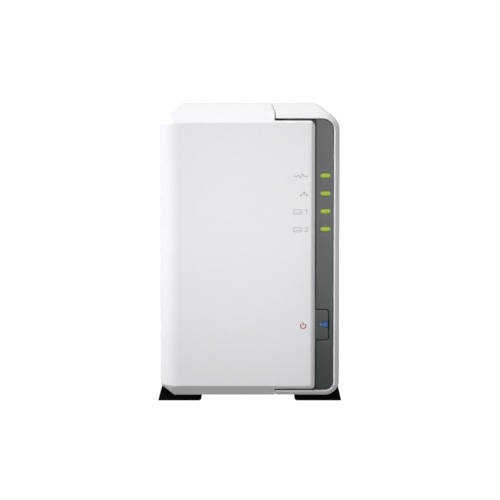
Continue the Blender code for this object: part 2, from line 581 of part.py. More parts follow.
# ---- rear panel ------------------------------------------------------------
def make_rear():
    c = LEFT_CHAMFER
    outline = fillet(
        [(-47.2 + c - 1.2, 9.15), (46.7, 9.15), (46.7, 161.2), (-47.2 + c - 1.2, 161.2), (-47.2, 161.2 - c + 1.2), (-47.2, 9.15 + c - 1.2)],
        (0, 4.4, 4.4, 0, 0, 0), 3)
    panel = prism(outline, "Y", *REAR_PANEL_Y)
    slots = []
    for r0, r1 in ((16.5, 21.5), (24.0, 29.0), (31.5, 36.5), (39.0, 43.4)):
        half = math.asin(2.6 / ((r0 + r1) / 2))
        for q in range(4):
            a0, a1 = math.pi / 2 * q + math.pi / 4 + half, math.pi / 2 * (q + 1) + math.pi / 4 - half
            n = 5 if r0 < 24 else 7
            arc = [a0 + (a1 - a0) * k / n for k in range(n + 1)]
            slots.append(prism([(r1 * math.cos(a), FAN_Z + r1 * math.sin(a)) for a in arc] + [(r0 * math.cos(a), FAN_Z + r0 * math.sin(a)) for a in arc[::-1]], "Y", 104, 116))
    windows = [box(28.8, 43.1, 104, 116, 42.2, 59.0), box(27.4, 43.1, 104, 116, 22.0, 36.4), box(31.4, 43.1, 104, 116, 11.6, 20.8), rod("Y", *RESET_XZ, 1.3, 104, 116, 12)]
    windows.append(prism(rounded_rect(-23.5, -16.5, 36, 39, 0.8, 2), "Y", 104, 116))
    for x, z in ((-29, REAR_SCREW_Z[0]), (-29, REAR_SCREW_Z[1]), (36, REAR_SCREW_Z[0]), (20, REAR_SCREW_Z[1])):
        windows.append(rod("Y", x, z, 1.65, 104, 116, 10))
    windows += [rod("Y", sx * FAN_HOLE, FAN_Z + sz * FAN_HOLE, 2.3, 104, 116, 10) for sx in (-1, 1) for sz in (-1, 1)]
    part("rear_panel", cut(panel, merged(*slots), merged(*windows)), PLATE)


# ---- screws ----------------------------------------------------------------
def screw_mesh(name, head_r, head_h, shank_r, length, recess=True):
    """Pan head on +Y, shank along -Y, origin under the head; the case screws have a cross recess."""
    profile = [(head_r, 0.0), (head_r, head_h * 0.55), (head_r * 0.8, head_h)]
    bm = loft([[(r * math.cos(a), y, r * math.sin(a)) for a in (2 * math.pi * k / 12 for k in range(12))] for r, y in profile])
    bm = join(bm, rod("Y", 0, 0, shank_r, -length, 0.4, 6))
    w, l, d = head_r * 0.14, head_r * 0.6, head_h * 0.5
    cross = [(w, w), (l, w), (l, -w), (w, -w), (w, -l), (-w, -l), (-w, -w), (-l, -w), (-l, w), (-w, w), (-w, l), (w, l)]
    if recess:
        bm = cut(bm, prism(cross, "Y", head_h - d, head_h + 2))
    for v in bm.verts:
        v.co *= MM
    mesh = bpy.data.meshes.new(name)
    bm.to_mesh(mesh)
    bm.free()
    mesh.shade_smooth()
    mesh.set_sharp_from_angle(angle=math.radians(32))
    return mesh


def make_screws():
    rear_y = REAR_PANEL_Y[1] + 0.25
    case = screw_mesh("case_screw", 2.8, 1.7, 1.25, 8.5)
    for name, x, z in (("cover_screw_upper", -29, REAR_SCREW_Z[0]), ("cover_screw_lower", -29, REAR_SCREW_Z[1]),
                       ("rear_panel_screw_upper", 36, REAR_SCREW_Z[0]), ("rear_panel_screw_lower", 20, REAR_SCREW_Z[1])):
        put(name, case, SCREW, (x, rear_y, z))
    fan = screw_mesh("fan_screw", 3.6, 1.7, 1.9, 9.0)
    for n, (sx, sz) in enumerate(((-1, 1), (1, 1), (-1, -1), (1, -1)), 1):
        put(f"fan_screw_{n}", fan, SCREW, (sx * FAN_HOLE, rear_y, FAN_Z + sz * FAN_HOLE))
    small = screw_mesh("drive_screw", 2.9, 1.5, 1.4, 5.0, recess=False)
    for n, x in enumerate(DRIVE_X, 1):
        k = 0
        for y in DRIVE_SCREW_Y:
            for z, turn in ((CAGE_Z[1] + 0.25, math.pi / 2), (CAGE_Z[0] - 0.25, -math.pi / 2)):
                k += 1
                put(f"drive_{n}_screw_{k}", small, SCREW, (x + DRIVE_SCREW_X, y, z)).rotation_euler = (turn, 0, 0)
    for n, (y, z) in enumerate((POST_YZ[1], POST_YZ[2]), 1):
        put(f"cage_screw_{n}", small, SCREW, (CAGE_X[1] - SHEET - 0.25, y, z)).rotation_euler = (0, 0, math.pi / 2)
    for n, (y, z) in enumerate((STANDOFF_YZ[1], STANDOFF_YZ[2]), 1):
        put(f"board_screw_{n}", small, SCREW, (BOARD_X[0] - 0.25, y, z)).rotation_euler = (0, 0, math.pi / 2)


make_cover()
make_base()
make_feet()
make_front()
make_drives()
make_board()
make_fan()
make_rear()
make_screws()
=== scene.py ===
"""Looks of the two-bay desktop storage unit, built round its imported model.

The shape helpers work in millimetres in the model's own frame: front faces -Y,
+X is the viewer's right, +Z is up. Finished pieces are in metres.
"""
import math

import bmesh
import bpy
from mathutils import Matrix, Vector


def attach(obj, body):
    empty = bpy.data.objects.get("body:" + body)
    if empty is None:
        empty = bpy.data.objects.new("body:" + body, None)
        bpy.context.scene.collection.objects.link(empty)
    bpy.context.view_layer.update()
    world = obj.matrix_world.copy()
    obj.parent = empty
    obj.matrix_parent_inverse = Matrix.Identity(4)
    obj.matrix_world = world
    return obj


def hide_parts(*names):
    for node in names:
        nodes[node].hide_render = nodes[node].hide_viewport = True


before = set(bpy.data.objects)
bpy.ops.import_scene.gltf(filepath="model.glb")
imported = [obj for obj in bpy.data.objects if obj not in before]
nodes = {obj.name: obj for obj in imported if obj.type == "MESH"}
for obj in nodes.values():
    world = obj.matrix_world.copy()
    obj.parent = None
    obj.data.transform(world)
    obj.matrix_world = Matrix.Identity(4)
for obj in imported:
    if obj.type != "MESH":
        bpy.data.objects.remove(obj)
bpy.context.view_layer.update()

# ---- dimensions, mm, as in the solid model ---------------------------------
BODY_W, BODY_H, BODY_D = 100.6, 165.0, 225.5
SHELL_BOTTOM, BASE_BOTTOM = 5.6, 5.8
COVER_WALL, BASE_WALL, BASE_TOP_WALL = 2.6, 3.2, 3.4
FRONT_CHAMFER, LEFT_CHAMFER, LONG_CHAMFER = 5.8, 4.8, 6.5
LOW_CHAMFER_W, LOW_CHAMFER_H = 7.9, 6.2
BASE_CORNER_R, BASE_TOP_CORNER_R = 8.0, 10.0
RIM_SETBACK = 2.5
SEAM_X, SEAM_GAP = 14.2, 0.55
PANEL_RIGHT = 36.5
PANEL_TOP, PANEL_BOTTOM = 160.34, 9.62
PANEL_EDGE, PANEL_EDGE_R = 1.9, 3.0
PANEL_CORNER_TOP_R, PANEL_CORNER_LOW_R = 3.3, 2.3
BEZEL_FACE, BEZEL_THICK = -108.4, 2.2
LIGHT_X = 42.5
LIGHT_Z = (129.5, 119.45, 109.45, 99.45)
LIGHT_W, LIGHT_H = 5.35, 2.75
BUTTON_X, BUTTON_Z = (32.9, 44.15), (37.12, 53.68)
POWER_LIGHT_Z = 45.65
VENT_COUNT, VENT_PITCH, VENT_W = 16, 7.0, 3.2
VENT_Z = (73.0, 113.0)
TAB_Y = (-69.0, 0.0, 62.0)
FOOT_Y, FOOT_LENGTH, FOOT_HALF_W = (-79.5, 79.5), 25.0, 52.37
REAR_PANEL_Y = (108.7, 110.7)
FAN_SIZE, FAN_DEPTH, FAN_Z, FAN_HOLE, FAN_Y = 92.0, 24.9, 108.0, 41.25, 83.5
DRIVE_X = (-38.3, -5.4)
DRIVE_T, DRIVE_W, DRIVE_L = 26.1, 101.6, 147.0
DRIVE_Y, DRIVE_Z = -97.0, 31.4
DRIVE_SCREW_Y, DRIVE_SCREW_X = (-80.1, 21.5), 6.35
CAGE_X, CAGE_Y, CAGE_Z, SHEET = (-40.4, 24.2), (-99.0, 49.0), (29.7, 134.7), 1.0
BOARD_X, BOARD_Y, BOARD_Z = (43.0, 44.6), (-30.0, 107.8), (11.5, 60.0)
POST_YZ = ((-78.0, 65.0), (-78.0, 124.0), (38.0, 65.0), (38.0, 124.0))
STANDOFF_YZ = ((-24.0, 17.0), (-24.0, 54.0), (78.0, 17.0), (78.0, 54.0))
REAR_SCREW_Z = (158.6, 12.3)
RESET_XZ = (39.6, 39.3)

FRONT, REAR = 0.005 - BODY_D / 2, BODY_D / 2 - 0.005
LEFT, RIGHT = -BODY_W / 2, BODY_W / 2
TOP, BOTTOM = BODY_H, SHELL_BOTTOM
MIRROR_Z = TOP + BOTTOM
COVER_EDGE, BASE_EDGE = SEAM_X - SEAM_GAP / 2, SEAM_X + SEAM_GAP / 2
INK = 0.03                 # the printed marks stand this far off the panel
FACE = FRONT + INK
MM = 0.001


# ---- shape helpers ---------------------------------------------------------
def loft(rings, closed=False):
    """Solid through rings of equal point count; a closed one runs round to its start."""
    bm = bmesh.new()
    rows = [[bm.verts.new(p) for p in ring] for ring in rings]
    count = len(rows[0])
    pairs = list(zip(rows, rows[1:]))
    if closed:
        pairs.append((rows[-1], rows[0]))
    for low, high in pairs:
        for i in range(count):
            j = (i + 1) % count
            bm.faces.new((low[i], low[j], high[j], high[i]))
    if not closed:
        bm.faces.new(rows[0][::-1])
        bm.faces.new(rows[-1])
    bmesh.ops.recalc_face_normals(bm, faces=bm.faces)
    return bm


def lift(axis, u, v, t):
    return {"X": (t, u, v), "Y": (u, t, v), "Z": (u, v, t)}[axis]


def prism(outline, axis, a, b):
    """Outline swept along an axis: (y, z) along X, (x, z) along Y, (x, y) along Z."""
    return loft([[lift(axis, u, v, t) for u, v in outline] for t in (a, b)])


def box(x0, x1, y0, y1, z0, z1):
    return prism(((x0, y0), (x1, y0), (x1, y1), (x0, y1)), "Z", z0, z1)


def ring_points(u, v, r, n, start=0.0):
    step = 2 * math.pi / n
    return [(u + r * math.cos(start + step * k), v + r * math.sin(start + step * k)) for k in range(n)]


def rod(axis, u, v, r, a, b, n=32):
    return prism(ring_points(u, v, r, n, math.pi / n), axis, a, b)


def turned(axis, u, v, profile, n=32):
    """Turned solid: (radius, place) pairs along an axis."""
    return loft([[lift(axis, p, q, t) for p, q in ring_points(u, v, r, n)] for r, t in profile])


def fillet(points, radii, seg):
    out = []
    for i, (p, r) in enumerate(zip(points, radii)):
        b = Vector(p)
        if r <= 0:
            out.append(tuple(b))
            continue
        u = (Vector(points[i - 1]) - b).normalized()
        v = (Vector(points[(i + 1) % len(points)]) - b).normalized()
        half = math.acos(max(-1.0, min(1.0, u.dot(v)))) / 2
        centre = b + (u + v).normalized() * (r / math.sin(half))
        first, last = (b + w * (r / math.tan(half)) - centre for w in (u, v))
        a0 = math.atan2(first.y, first.x)
        turn = math.atan2(last.y, last.x) - a0
        turn = (turn + math.pi) % (2 * math.pi) - math.pi
        for k in range(seg + 1):
            a = a0 + turn * k / seg
            out.append((centre.x + r * math.cos(a), centre.y + r * math.sin(a)))
    return out


def rect(u0, u1, v0, v1):
    return [(u0, v0), (u1, v0), (u1, v1), (u0, v1)]


def rounded_rect(u0, u1, v0, v1, r, seg=6):
    return fillet(rect(u0, u1, v0, v1), (r,) * 4, seg)


def slot_outline(u, v, length, height, seg=8):
    return rounded_rect(u - length / 2, u + length / 2, v - height / 2, v + height / 2, height / 2 - 0.02, seg)


def oval_outline(u, v, length, height, n=40, power=0.82):
    """Oval with fuller ends than an ellipse."""
    turn = [2 * math.pi * (k + 0.5) / n for k in range(n)]
    return [(u + length / 2 * math.copysign(abs(math.cos(a)) ** power, math.cos(a)), v + height / 2 * math.copysign(abs(math.sin(a)) ** power, math.sin(a))) for a in turn]


def merged(*solids):
    out = bmesh.new()
    for bm in solids:
        index = {v: out.verts.new(v.co) for v in bm.verts}
        for f in bm.faces:
            out.faces.new([index[v] for v in f.verts])
        bm.free()
    return out


def helper(bm):
    mesh = bpy.data.meshes.new("helper")
    bm.to_mesh(mesh)
    bm.free()
    ob = bpy.data.objects.new("helper", mesh)
    bpy.context.scene.collection.objects.link(ob)
    return ob


def boolean(a, b, operation):
    first, second = helper(a), helper(b)
    mod = first.modifiers.new("boolean", "BOOLEAN")
    mod.operation, mod.solver, mod.object = operation, "EXACT", second
    bpy.context.view_layer.update()
    graph = bpy.context.evaluated_depsgraph_get()
    mesh = bpy.data.meshes.new_from_object(first.evaluated_get(graph))
    bm = bmesh.new()
    bm.from_mesh(mesh)
    for ob in (first, second):
        old = ob.data
        bpy.data.objects.remove(ob, do_unlink=True)
        bpy.data.meshes.remove(old)
    bpy.data.meshes.remove(mesh)
    return bm


def cut(bm, *cutters):
    for c in cutters:
        bm = boolean(bm, c, "DIFFERENCE")
    return bm


def join(bm, *others):
    for o in others:
        bm = boolean(bm, o, "UNION")
    return bm


def soften(bm, width, angle=35.0, seg=2):
    """Rounds every edge that turns by more than the angle."""
    bmesh.ops.remove_doubles(bm, verts=bm.verts, dist=1e-4)
    bmesh.ops.dissolve_limit(bm, angle_limit=math.radians(0.8), verts=bm.verts, edges=bm.edges)
    edges = [e for e in bm.edges if e.is_manifold and e.calc_face_angle(0.0) > math.radians(angle)]
    bmesh.ops.bevel(bm, geom=edges, offset=width, offset_type="OFFSET", segments=seg, profile=0.5, affect="EDGES", clamp_overlap=False)
    return bm


def block(x0, x1, y0, y1, z0, z1, r=0.2, seg=2):
    """Box with rounded edges."""
    return soften(box(x0, x1, y0, y1, z0, z1), r, 35.0, seg)


def sweep(path, r, n):
    """Round wire along a path of points."""
    path = [Vector(p) for p in path]
    rings = []
    side = Vector((1, 0, 0))
    for i, p in enumerate(path):
        along = (path[min(i + 1, len(path) - 1)] - path[max(i - 1, 0)]).normalized()
        side = (side - along * side.dot(along)).normalized()
        up = along.cross(side)
        rings.append([p + side * r * math.cos(2 * math.pi * k / n) + up * r * math.sin(2 * math.pi * k / n) for k in range(n)])
    return loft(rings)


def smooth_path(points, steps):
    """Points along a Catmull-Rom curve through the given ones."""
    pts = [Vector(p) for p in points]
    pts = [pts[0] * 2 - pts[1]] + pts + [pts[-1] * 2 - pts[-2]]
    out = []
    for a, b, c, d in zip(pts, pts[1:], pts[2:], pts[3:]):
        for k in range(steps):
            t = k / steps
            out.append(0.5 * (2 * b + (c - a) * t + (2 * a - 5 * b + 4 * c - d) * t * t + (3 * b - a - 3 * c + d) * t ** 3))
    return out + [pts[-2]]


def stroke(points, width, closed=False):
    """Printed line of even width along (x, z) points, on the front panel's face."""
    pts = [Vector(p) for p in points]
    n = len(pts)
    rings = []
    for i, p in enumerate(pts):
        before = (p - pts[i - 1]).normalized() if closed or i else None
        after = (pts[(i + 1) % n] - p).normalized() if closed or i < n - 1 else None
        before, after = before or after, after or before
        along = (before + after).normalized()
        side = Vector((-along.y, along.x)) * (width / 2 / max(0.5, along.dot(after)))
        l, r = p + side, p - side
        rings.append([(l.x, FRONT, l.y), (r.x, FRONT, r.y), (r.x, FACE + 0.05, r.y), (l.x, FACE + 0.05, l.y)])
    return loft(rings, closed)


# ---- surface looks ---------------------------------------------------------
def look(name):
    mat = bpy.data.materials.new(name)
    mat.use_nodes = True
    tree = mat.node_tree
    return mat, tree, next(n for n in tree.nodes if n.type == "BSDF_PRINCIPLED")


def add(tree, kind, inputs=(), **settings):
    node = tree.nodes.new(kind)
    for key, value in settings.items():
        setattr(node, key, value)
    for key, value in dict(inputs).items():
        node.inputs[key].default_value = value
    return node


def noise(tree, scale, detail=2.0, rough=0.5, stretch=None, space="Object"):
    vector = add(tree, "ShaderNodeTexCoord").outputs[space]
    if stretch:
        turn = add(tree, "ShaderNodeMapping", {"Scale": stretch})
        tree.links.new(vector, turn.inputs["Vector"])
        vector = turn.outputs["Vector"]
    node = add(tree, "ShaderNodeTexNoise", {"Scale": scale, "Detail": detail, "Roughness": rough})
    tree.links.new(vector, node.inputs["Vector"])
    return node.outputs["Fac"]


def cells(tree, scale, output="Distance", stretch=None, **settings):
    vector = add(tree, "ShaderNodeTexCoord").outputs["Object"]
    if stretch:
        turn = add(tree, "ShaderNodeMapping", {"Scale": stretch})
        tree.links.new(vector, turn.inputs["Vector"])
        vector = turn.outputs["Vector"]
    node = add(tree, "ShaderNodeTexVoronoi", {"Scale": scale}, **settings)
    tree.links.new(vector, node.inputs["Vector"])
    return node.outputs[output]


def spread(tree, socket, low, high, a=0.3, b=0.7):
    node = add(tree, "ShaderNodeMapRange", {"From Min": a, "From Max": b, "To Min": low, "To Max": high})
    tree.links.new(socket, node.inputs["Value"])
    return node.outputs["Result"]


def ramp(tree, socket, *stops):
    node = add(tree, "ShaderNodeValToRGB")
    marks = node.color_ramp.elements
    while len(marks) < len(stops):
        marks.new(0.5)
    for mark, (place, colour) in zip(marks, stops):
        mark.position, mark.color = place, (*colour, 1.0)
    tree.links.new(socket, node.inputs["Fac"])
    return node.outputs["Color"]


def over(tree, factor, first, second):
    """Second colour over the first where the factor is 1. Either may be a socket or a colour."""
    node = add(tree, "ShaderNodeMix", data_type="RGBA")
    tree.links.new(factor, node.inputs[0])
    for place, colour in ((6, first), (7, second)):
        if isinstance(colour, tuple):
            node.inputs[place].default_value = (*colour, 1.0)
        else:
            tree.links.new(colour, node.inputs[place])
    return node.outputs[2]


def bump(tree, socket, strength, distance, normal=None):
    node = add(tree, "ShaderNodeBump", {"Strength": strength, "Distance": distance})
    tree.links.new(socket, node.inputs["Height"])
    if normal is not None:
        tree.links.new(normal, node.inputs["Normal"])
    return node.outputs["Normal"]


def rounded_normal(tree, radius):
    return add(tree, "ShaderNodeBevel", {"Radius": radius}, samples=6).outputs["Normal"]


def edge_mask(tree, radius):
    """1 along sharp edges, 0 on flats."""
    soft = rounded_normal(tree, radius)
    flat = add(tree, "ShaderNodeNewGeometry").outputs["Normal"]
    dot = add(tree, "ShaderNodeVectorMath", operation="DOT_PRODUCT")
    tree.links.new(soft, dot.inputs[0])
    tree.links.new(flat, dot.inputs[1])
    return spread(tree, dot.outputs["Value"], 1.0, 0.0, 0.80, 0.985)


def scaled(colour, k):
    return tuple(min(1.0, c * k) for c in colour)


def moulded(name, colour, roughness, vary=0.015, grain=4200.0, depth=0.00002, strength=0.12, edge=0.0, specular=0.5, worn=0.0):
    """Moulded plastic: faint clouding, fine spark-eroded grain, edges polished by handling."""
    mat, tree, bsdf = look(name)
    tone = ramp(tree, noise(tree, 32, 4, 0.6), (0.3, scaled(colour, 1 - vary)), (0.7, scaled(colour, 1 + vary)))
    rough = spread(tree, noise(tree, 190, 5, 0.65), roughness - 0.05, roughness + 0.05)
    normal = None
    if edge:
        normal = rounded_normal(tree, edge)
        if worn:
            mask = edge_mask(tree, edge * 1.4)
            rub = add(tree, "ShaderNodeMath", operation="MULTIPLY")
            tree.links.new(mask, rub.inputs[0])
            tree.links.new(spread(tree, noise(tree, 420, 4, 0.7), 0.0, worn), rub.inputs[1])
            tone = over(tree, rub.outputs[0], tone, scaled(colour, 1.25))
    tree.links.new(tone, bsdf.inputs["Base Color"])
    tree.links.new(rough, bsdf.inputs["Roughness"])
    tree.links.new(bump(tree, noise(tree, grain, 2, 0.55), strength, depth, normal), bsdf.inputs["Normal"])
    bsdf.inputs["Specular IOR Level"].default_value = specular
    return mat


def metal(name, colour, roughness, vary=0.05, brushed=None, depth=0.00001, strength=0.1, scale=900.0, edge=0.00015):
    mat, tree, bsdf = look(name)
    lines = noise(tree, scale, 4, 0.6, brushed)
    tree.links.new(ramp(tree, noise(tree, 60, 4), (0.3, scaled(colour, 1 - vary)), (0.7, scaled(colour, 1 + vary))), bsdf.inputs["Base Color"])
    tree.links.new(spread(tree, lines, roughness - 0.07, roughness + 0.09), bsdf.inputs["Roughness"])
    tree.links.new(bump(tree, lines, strength, depth, rounded_normal(tree, edge)), bsdf.inputs["Normal"])
    bsdf.inputs["Metallic"].default_value = 1.0
    return mat


def spangled(name, colour, roughness):
    """Zinc-plated sheet: flat crystals of slightly different tone."""
    mat, tree, bsdf = look(name)
    grain = cells(tree, 170, "Color")
    tone = add(tree, "ShaderNodeSeparateColor")
    tree.links.new(grain, tone.inputs["Color"])
    tree.links.new(ramp(tree, tone.outputs["Red"], (0.0, scaled(colour, 0.86)), (1.0, scaled(colour, 1.08))), bsdf.inputs["Base Color"])
    tree.links.new(spread(tree, tone.outputs["Green"], roughness - 0.08, roughness + 0.1, 0.0, 1.0), bsdf.inputs["Roughness"])
    tree.links.new(bump(tree, noise(tree, 1500, 3), 0.08, 0.00001, rounded_normal(tree, 0.0002)), bsdf.inputs["Normal"])
    bsdf.inputs["Metallic"].default_value = 1.0
    return mat


def circuit(name, colour):
    """Solder mask over copper runs, with small tinned via rings."""
    mat, tree, bsdf = look(name)
    field = cells(tree, 95, "Distance", distance="CHEBYCHEV")
    steps = add(tree, "ShaderNodeMath", {1: 9.0}, operation="MULTIPLY")
    tree.links.new(field, steps.inputs[0])
    part = add(tree, "ShaderNodeMath", operation="FRACT")
    tree.links.new(steps.outputs[0], part.inputs[0])
    runs = spread(tree, part.outputs[0], 0.0, 1.0, 0.46, 0.54)
    where = spread(tree, noise(tree, 70, 1), 0.0, 1.0, 0.48, 0.52)
    copper = add(tree, "ShaderNodeMath", operation="MULTIPLY")
    tree.links.new(runs, copper.inputs[0])
    tree.links.new(where, copper.inputs[1])
    mask = over(tree, copper.outputs[0], colour, scaled(colour, 1.9))
    vias = spread(tree, cells(tree, 210, "Distance"), 1.0, 0.0, 0.09, 0.12)
    tree.links.new(over(tree, vias, mask, (0.55, 0.50, 0.36)), bsdf.inputs["Base Color"])
    tree.links.new(spread(tree, noise(tree, 800, 3), 0.30, 0.46), bsdf.inputs["Roughness"])
    tree.links.new(bump(tree, copper.outputs[0], 0.25, 0.00003), bsdf.inputs["Normal"])
    return mat


def lit(name, colour, across, dim, strength):
    """Clear light pipe lit from behind: colours along its length, dimmer towards its long edges."""
    mat, tree, bsdf = look(name)
    place = add(tree, "ShaderNodeSeparateXYZ")
    tree.links.new(add(tree, "ShaderNodeTexCoord").outputs["Generated"], place.inputs[0])
    glow = ramp(tree, place.outputs["X"], *across)
    tree.links.new(over(tree, ramp(tree, place.outputs["Z"], *dim), (0.0, 0.0, 0.0), glow), bsdf.inputs["Emission Color"])
    tree.links.new(ramp(tree, noise(tree, 600, 2), (0.3, scaled(colour, 0.9)), (0.7, scaled(colour, 1.1))), bsdf.inputs["Base Color"])
    tree.links.new(spread(tree, noise(tree, 1500, 3), 0.2, 0.3), bsdf.inputs["Roughness"])
    bsdf.inputs["Emission Strength"].default_value = strength
    return mat


def even(colour):
    return ((0.0, colour), (1.0, colour))


def edge_dim(low, start):
    """Grey steps across a light: low at both edges, full between."""
    grey, full = (low,) * 3, (1.0,) * 3
    return ((0.12, grey), (start, full), (1.0 - start, full), (0.88, grey))


WHITE = moulded("moulded_white", (0.832, 0.834, 0.866), 0.42, vary=0.006, edge=0.00025, worn=0.10)
GREY = moulded("moulded_dark_grey", (0.046, 0.055, 0.058), 0.18, vary=0.05, grain=5200, strength=0.16, edge=0.0002, specular=0.9, worn=0.25)
RUBBER = moulded("black_rubber_foot", (0.0022, 0.0024, 0.0027), 0.75, vary=0.3, grain=2600, depth=0.00004, strength=0.35, specular=0.06)
# Black for the black plastic parts; the same black is also put on the front strip's and power key's recess faces as
# painted shade.
BLACK_AND_SHADE = moulded("moulded_black_and_painted_shade", (0.018, 0.018, 0.020), 0.42, vary=0.15, strength=0.2, edge=0.0002, worn=0.2)
NYLON = moulded("ivory_connector", (0.62, 0.58, 0.47), 0.42, vary=0.05)
EPOXY = moulded("chip_epoxy", (0.022, 0.022, 0.024), 0.55, vary=0.2, grain=7000, strength=0.3)
CERAMIC = moulded("small_part_ceramic", (0.30, 0.21, 0.14), 0.45, vary=0.4)
FERRITE = moulded("coil_ferrite", (0.06, 0.06, 0.065), 0.6, vary=0.25, grain=3000, strength=0.4)
BLUE_INSERT = moulded("socket_tongue_blue", (0.035, 0.16, 0.50), 0.4, vary=0.08)
PAINT = moulded("powder_coated_sheet", (0.66, 0.665, 0.69), 0.5, vary=0.012, grain=1900, depth=0.00003, strength=0.28, edge=0.0002, worn=0.25)
INK_GREY = moulded("printed_grey", (0.36, 0.36, 0.38), 0.5, vary=0.1, grain=9000)
INK_RED = moulded("printed_red", (0.44, 0.075, 0.095), 0.5, vary=0.1, grain=9000)
STEEL = spangled("zinc_sheet", (0.66, 0.67, 0.69), 0.34)
SCREW = metal("nickel_plate", (0.70, 0.685, 0.66), 0.27, scale=2400)
CAST = metal("die_cast_aluminium", (0.50, 0.51, 0.53), 0.5, vary=0.08, scale=1700, strength=0.35, depth=0.00003)
LID = metal("brushed_lid_steel", (0.70, 0.71, 0.73), 0.32, brushed=(1.0, 0.03, 1.0), scale=2600, strength=0.12)
SINK = metal("black_anodised_fins", (0.10, 0.105, 0.115), 0.42, brushed=(1.0, 1.0, 0.05), scale=2200)
TIN = metal("tinned_sheet", (0.72, 0.72, 0.71), 0.26, brushed=(1.0, 0.15, 1.0), scale=1500)
CELL = metal("stainless_cell", (0.70, 0.70, 0.69), 0.22, brushed=(1.0, 1.0, 0.04), scale=2500)
GOLD = metal("gold_flash_contacts", (0.78, 0.58, 0.24), 0.24, scale=3000)
PCB = circuit("green_laminate", (0.012, 0.105, 0.045))
PCB_BLUE = circuit("drive_laminate", (0.012, 0.055, 0.105))
LEAD = moulded("lead_black", (0.018, 0.018, 0.018), 0.5, vary=0.15)
LEAD_RED = moulded("lead_red", (0.36, 0.02, 0.02), 0.45, vary=0.1)
LEAD_YELLOW = moulded("lead_yellow", (0.62, 0.42, 0.03), 0.45, vary=0.1)
GREEN_CORE, GREEN_TIP = (0.22, 0.32, 0.004), (0.27, 0.36, 0.10)
GREEN = lit("lit_green_pipe", (0.10, 0.13, 0.04), ((0.10, GREEN_TIP), (0.28, GREEN_CORE), (0.70, GREEN_CORE), (0.90, GREEN_TIP)), edge_dim(0.45, 0.34), 1.0)
BLUE = lit("lit_blue_pipe", (0.03, 0.07, 0.20), ((0.05, (0.075, 0.115, 0.14)), (0.16, (0.075, 0.115, 0.14)), (0.26, (0.012, 0.022, 0.035)), (0.36, (0.012, 0.022, 0.035)), (0.46, (0.008, 0.050, 0.17)), (1.0, (0.006, 0.042, 0.15))), edge_dim(0.5, 0.3), 1.0)
AMBER = lit("socket_window_amber", (0.45, 0.26, 0.06), even((0.5, 0.25, 0.03)), edge_dim(0.6, 0.3), 0.15)
PALE_GREEN = lit("socket_window_green", (0.20, 0.40, 0.12), even((0.2, 0.5, 0.06)), edge_dim(0.6, 0.3), 0.15)


def ribbon_look():
    """Flat cable: parallel cores under a clear white film."""
    mat, tree, bsdf = look("flat_cable_film")
    wave = add(tree, "ShaderNodeTexWave", {"Scale": 160.0, "Distortion": 0.0}, bands_direction="Z")
    tree.links.new(add(tree, "ShaderNodeTexCoord").outputs["Object"], wave.inputs["Vector"])
    tree.links.new(ramp(tree, wave.outputs["Fac"], (0.35, (0.62, 0.63, 0.65)), (0.6, (0.80, 0.80, 0.80))), bsdf.inputs["Base Color"])
    tree.links.new(spread(tree, noise(tree, 300, 3), 0.3, 0.42), bsdf.inputs["Roughness"])
    tree.links.new(bump(tree, wave.outputs["Fac"], 0.5, 0.0001), bsdf.inputs["Normal"])
    return mat


RIBBON = ribbon_look()


# ---- placing pieces --------------------------------------------------------
def piece(name, bm, mat, body="base", stands_for=(), sharp=35.0):
    """Named piece from a solid in millimetres, riding on a body."""
    bmesh.ops.remove_doubles(bm, verts=bm.verts, dist=1e-4)
    for v in bm.verts:
        v.co *= MM
    mesh = bpy.data.meshes.new(name)
    bm.to_mesh(mesh)
    bm.free()
    mesh.shade_smooth()
    mesh.set_sharp_from_angle(angle=math.radians(sharp))
    mesh.materials.append(mat)
    ob = bpy.data.objects.new(name, mesh)
    bpy.context.scene.collection.objects.link(ob)
    weigh(ob)
    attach(ob, body)
    if stands_for:
        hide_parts(*([stands_for] if isinstance(stands_for, str) else stands_for))
    return ob


def weigh(ob):
    mod = ob.modifiers.new("normals", "WEIGHTED_NORMAL")
    mod.mode, mod.weight, mod.keep_sharp = "FACE_AREA", 50, True


def dress(name, mat, round_mm=0.0):
    """Gives a node of the solid model its finish, and rounds its edges a little."""
    ob = nodes[name]
    ob.data.materials.clear()
    ob.data.materials.append(mat)
    if round_mm:
        mod = ob.modifiers.new("edges", "BEVEL")
        mod.width, mod.segments, mod.limit_method = round_mm * MM, 2, "ANGLE"
        mod.angle_limit, mod.use_clamp_overlap, mod.harden_normals = math.radians(35), True, True


# ---- case edge profiles ----------------------------------------------------
def chamfer_curve(size, r_side, r_face, seg):
    lead = math.tan(math.radians(22.5))
    points = []
    for k in range(seg + 1):
        a = math.radians(180 + 45 * k / seg)
        points.append((r_side + r_side * math.cos(a), size + lead * r_side + r_side * math.sin(a)))
    for k in range(seg + 1):
        a = math.radians(225 + 45 * k / seg)
        points.append((size + lead * r_face + r_face * math.cos(a), r_face + r_face * math.sin(a)))
    return points


def inset_at(curve, depth):
    if depth >= curve[0][1]:
        return 0.0
    for (i0, d0), (i1, d1) in zip(curve, curve[1:]):
        if d0 >= depth >= d1:
            return i0 if d0 == d1 else i0 + (i1 - i0) * (d0 - depth) / (d0 - d1)
    return curve[-1][0]


def depths_of(*curves, spacing=0.05):
    out = []
    for d in sorted({max(0.0, p[1]) for c in curves for p in c}, reverse=True):
        if not out or out[-1] - d > spacing:
            out.append(d)
    if out[-1] > 0.0:
        out[-1] = 0.0
    return out


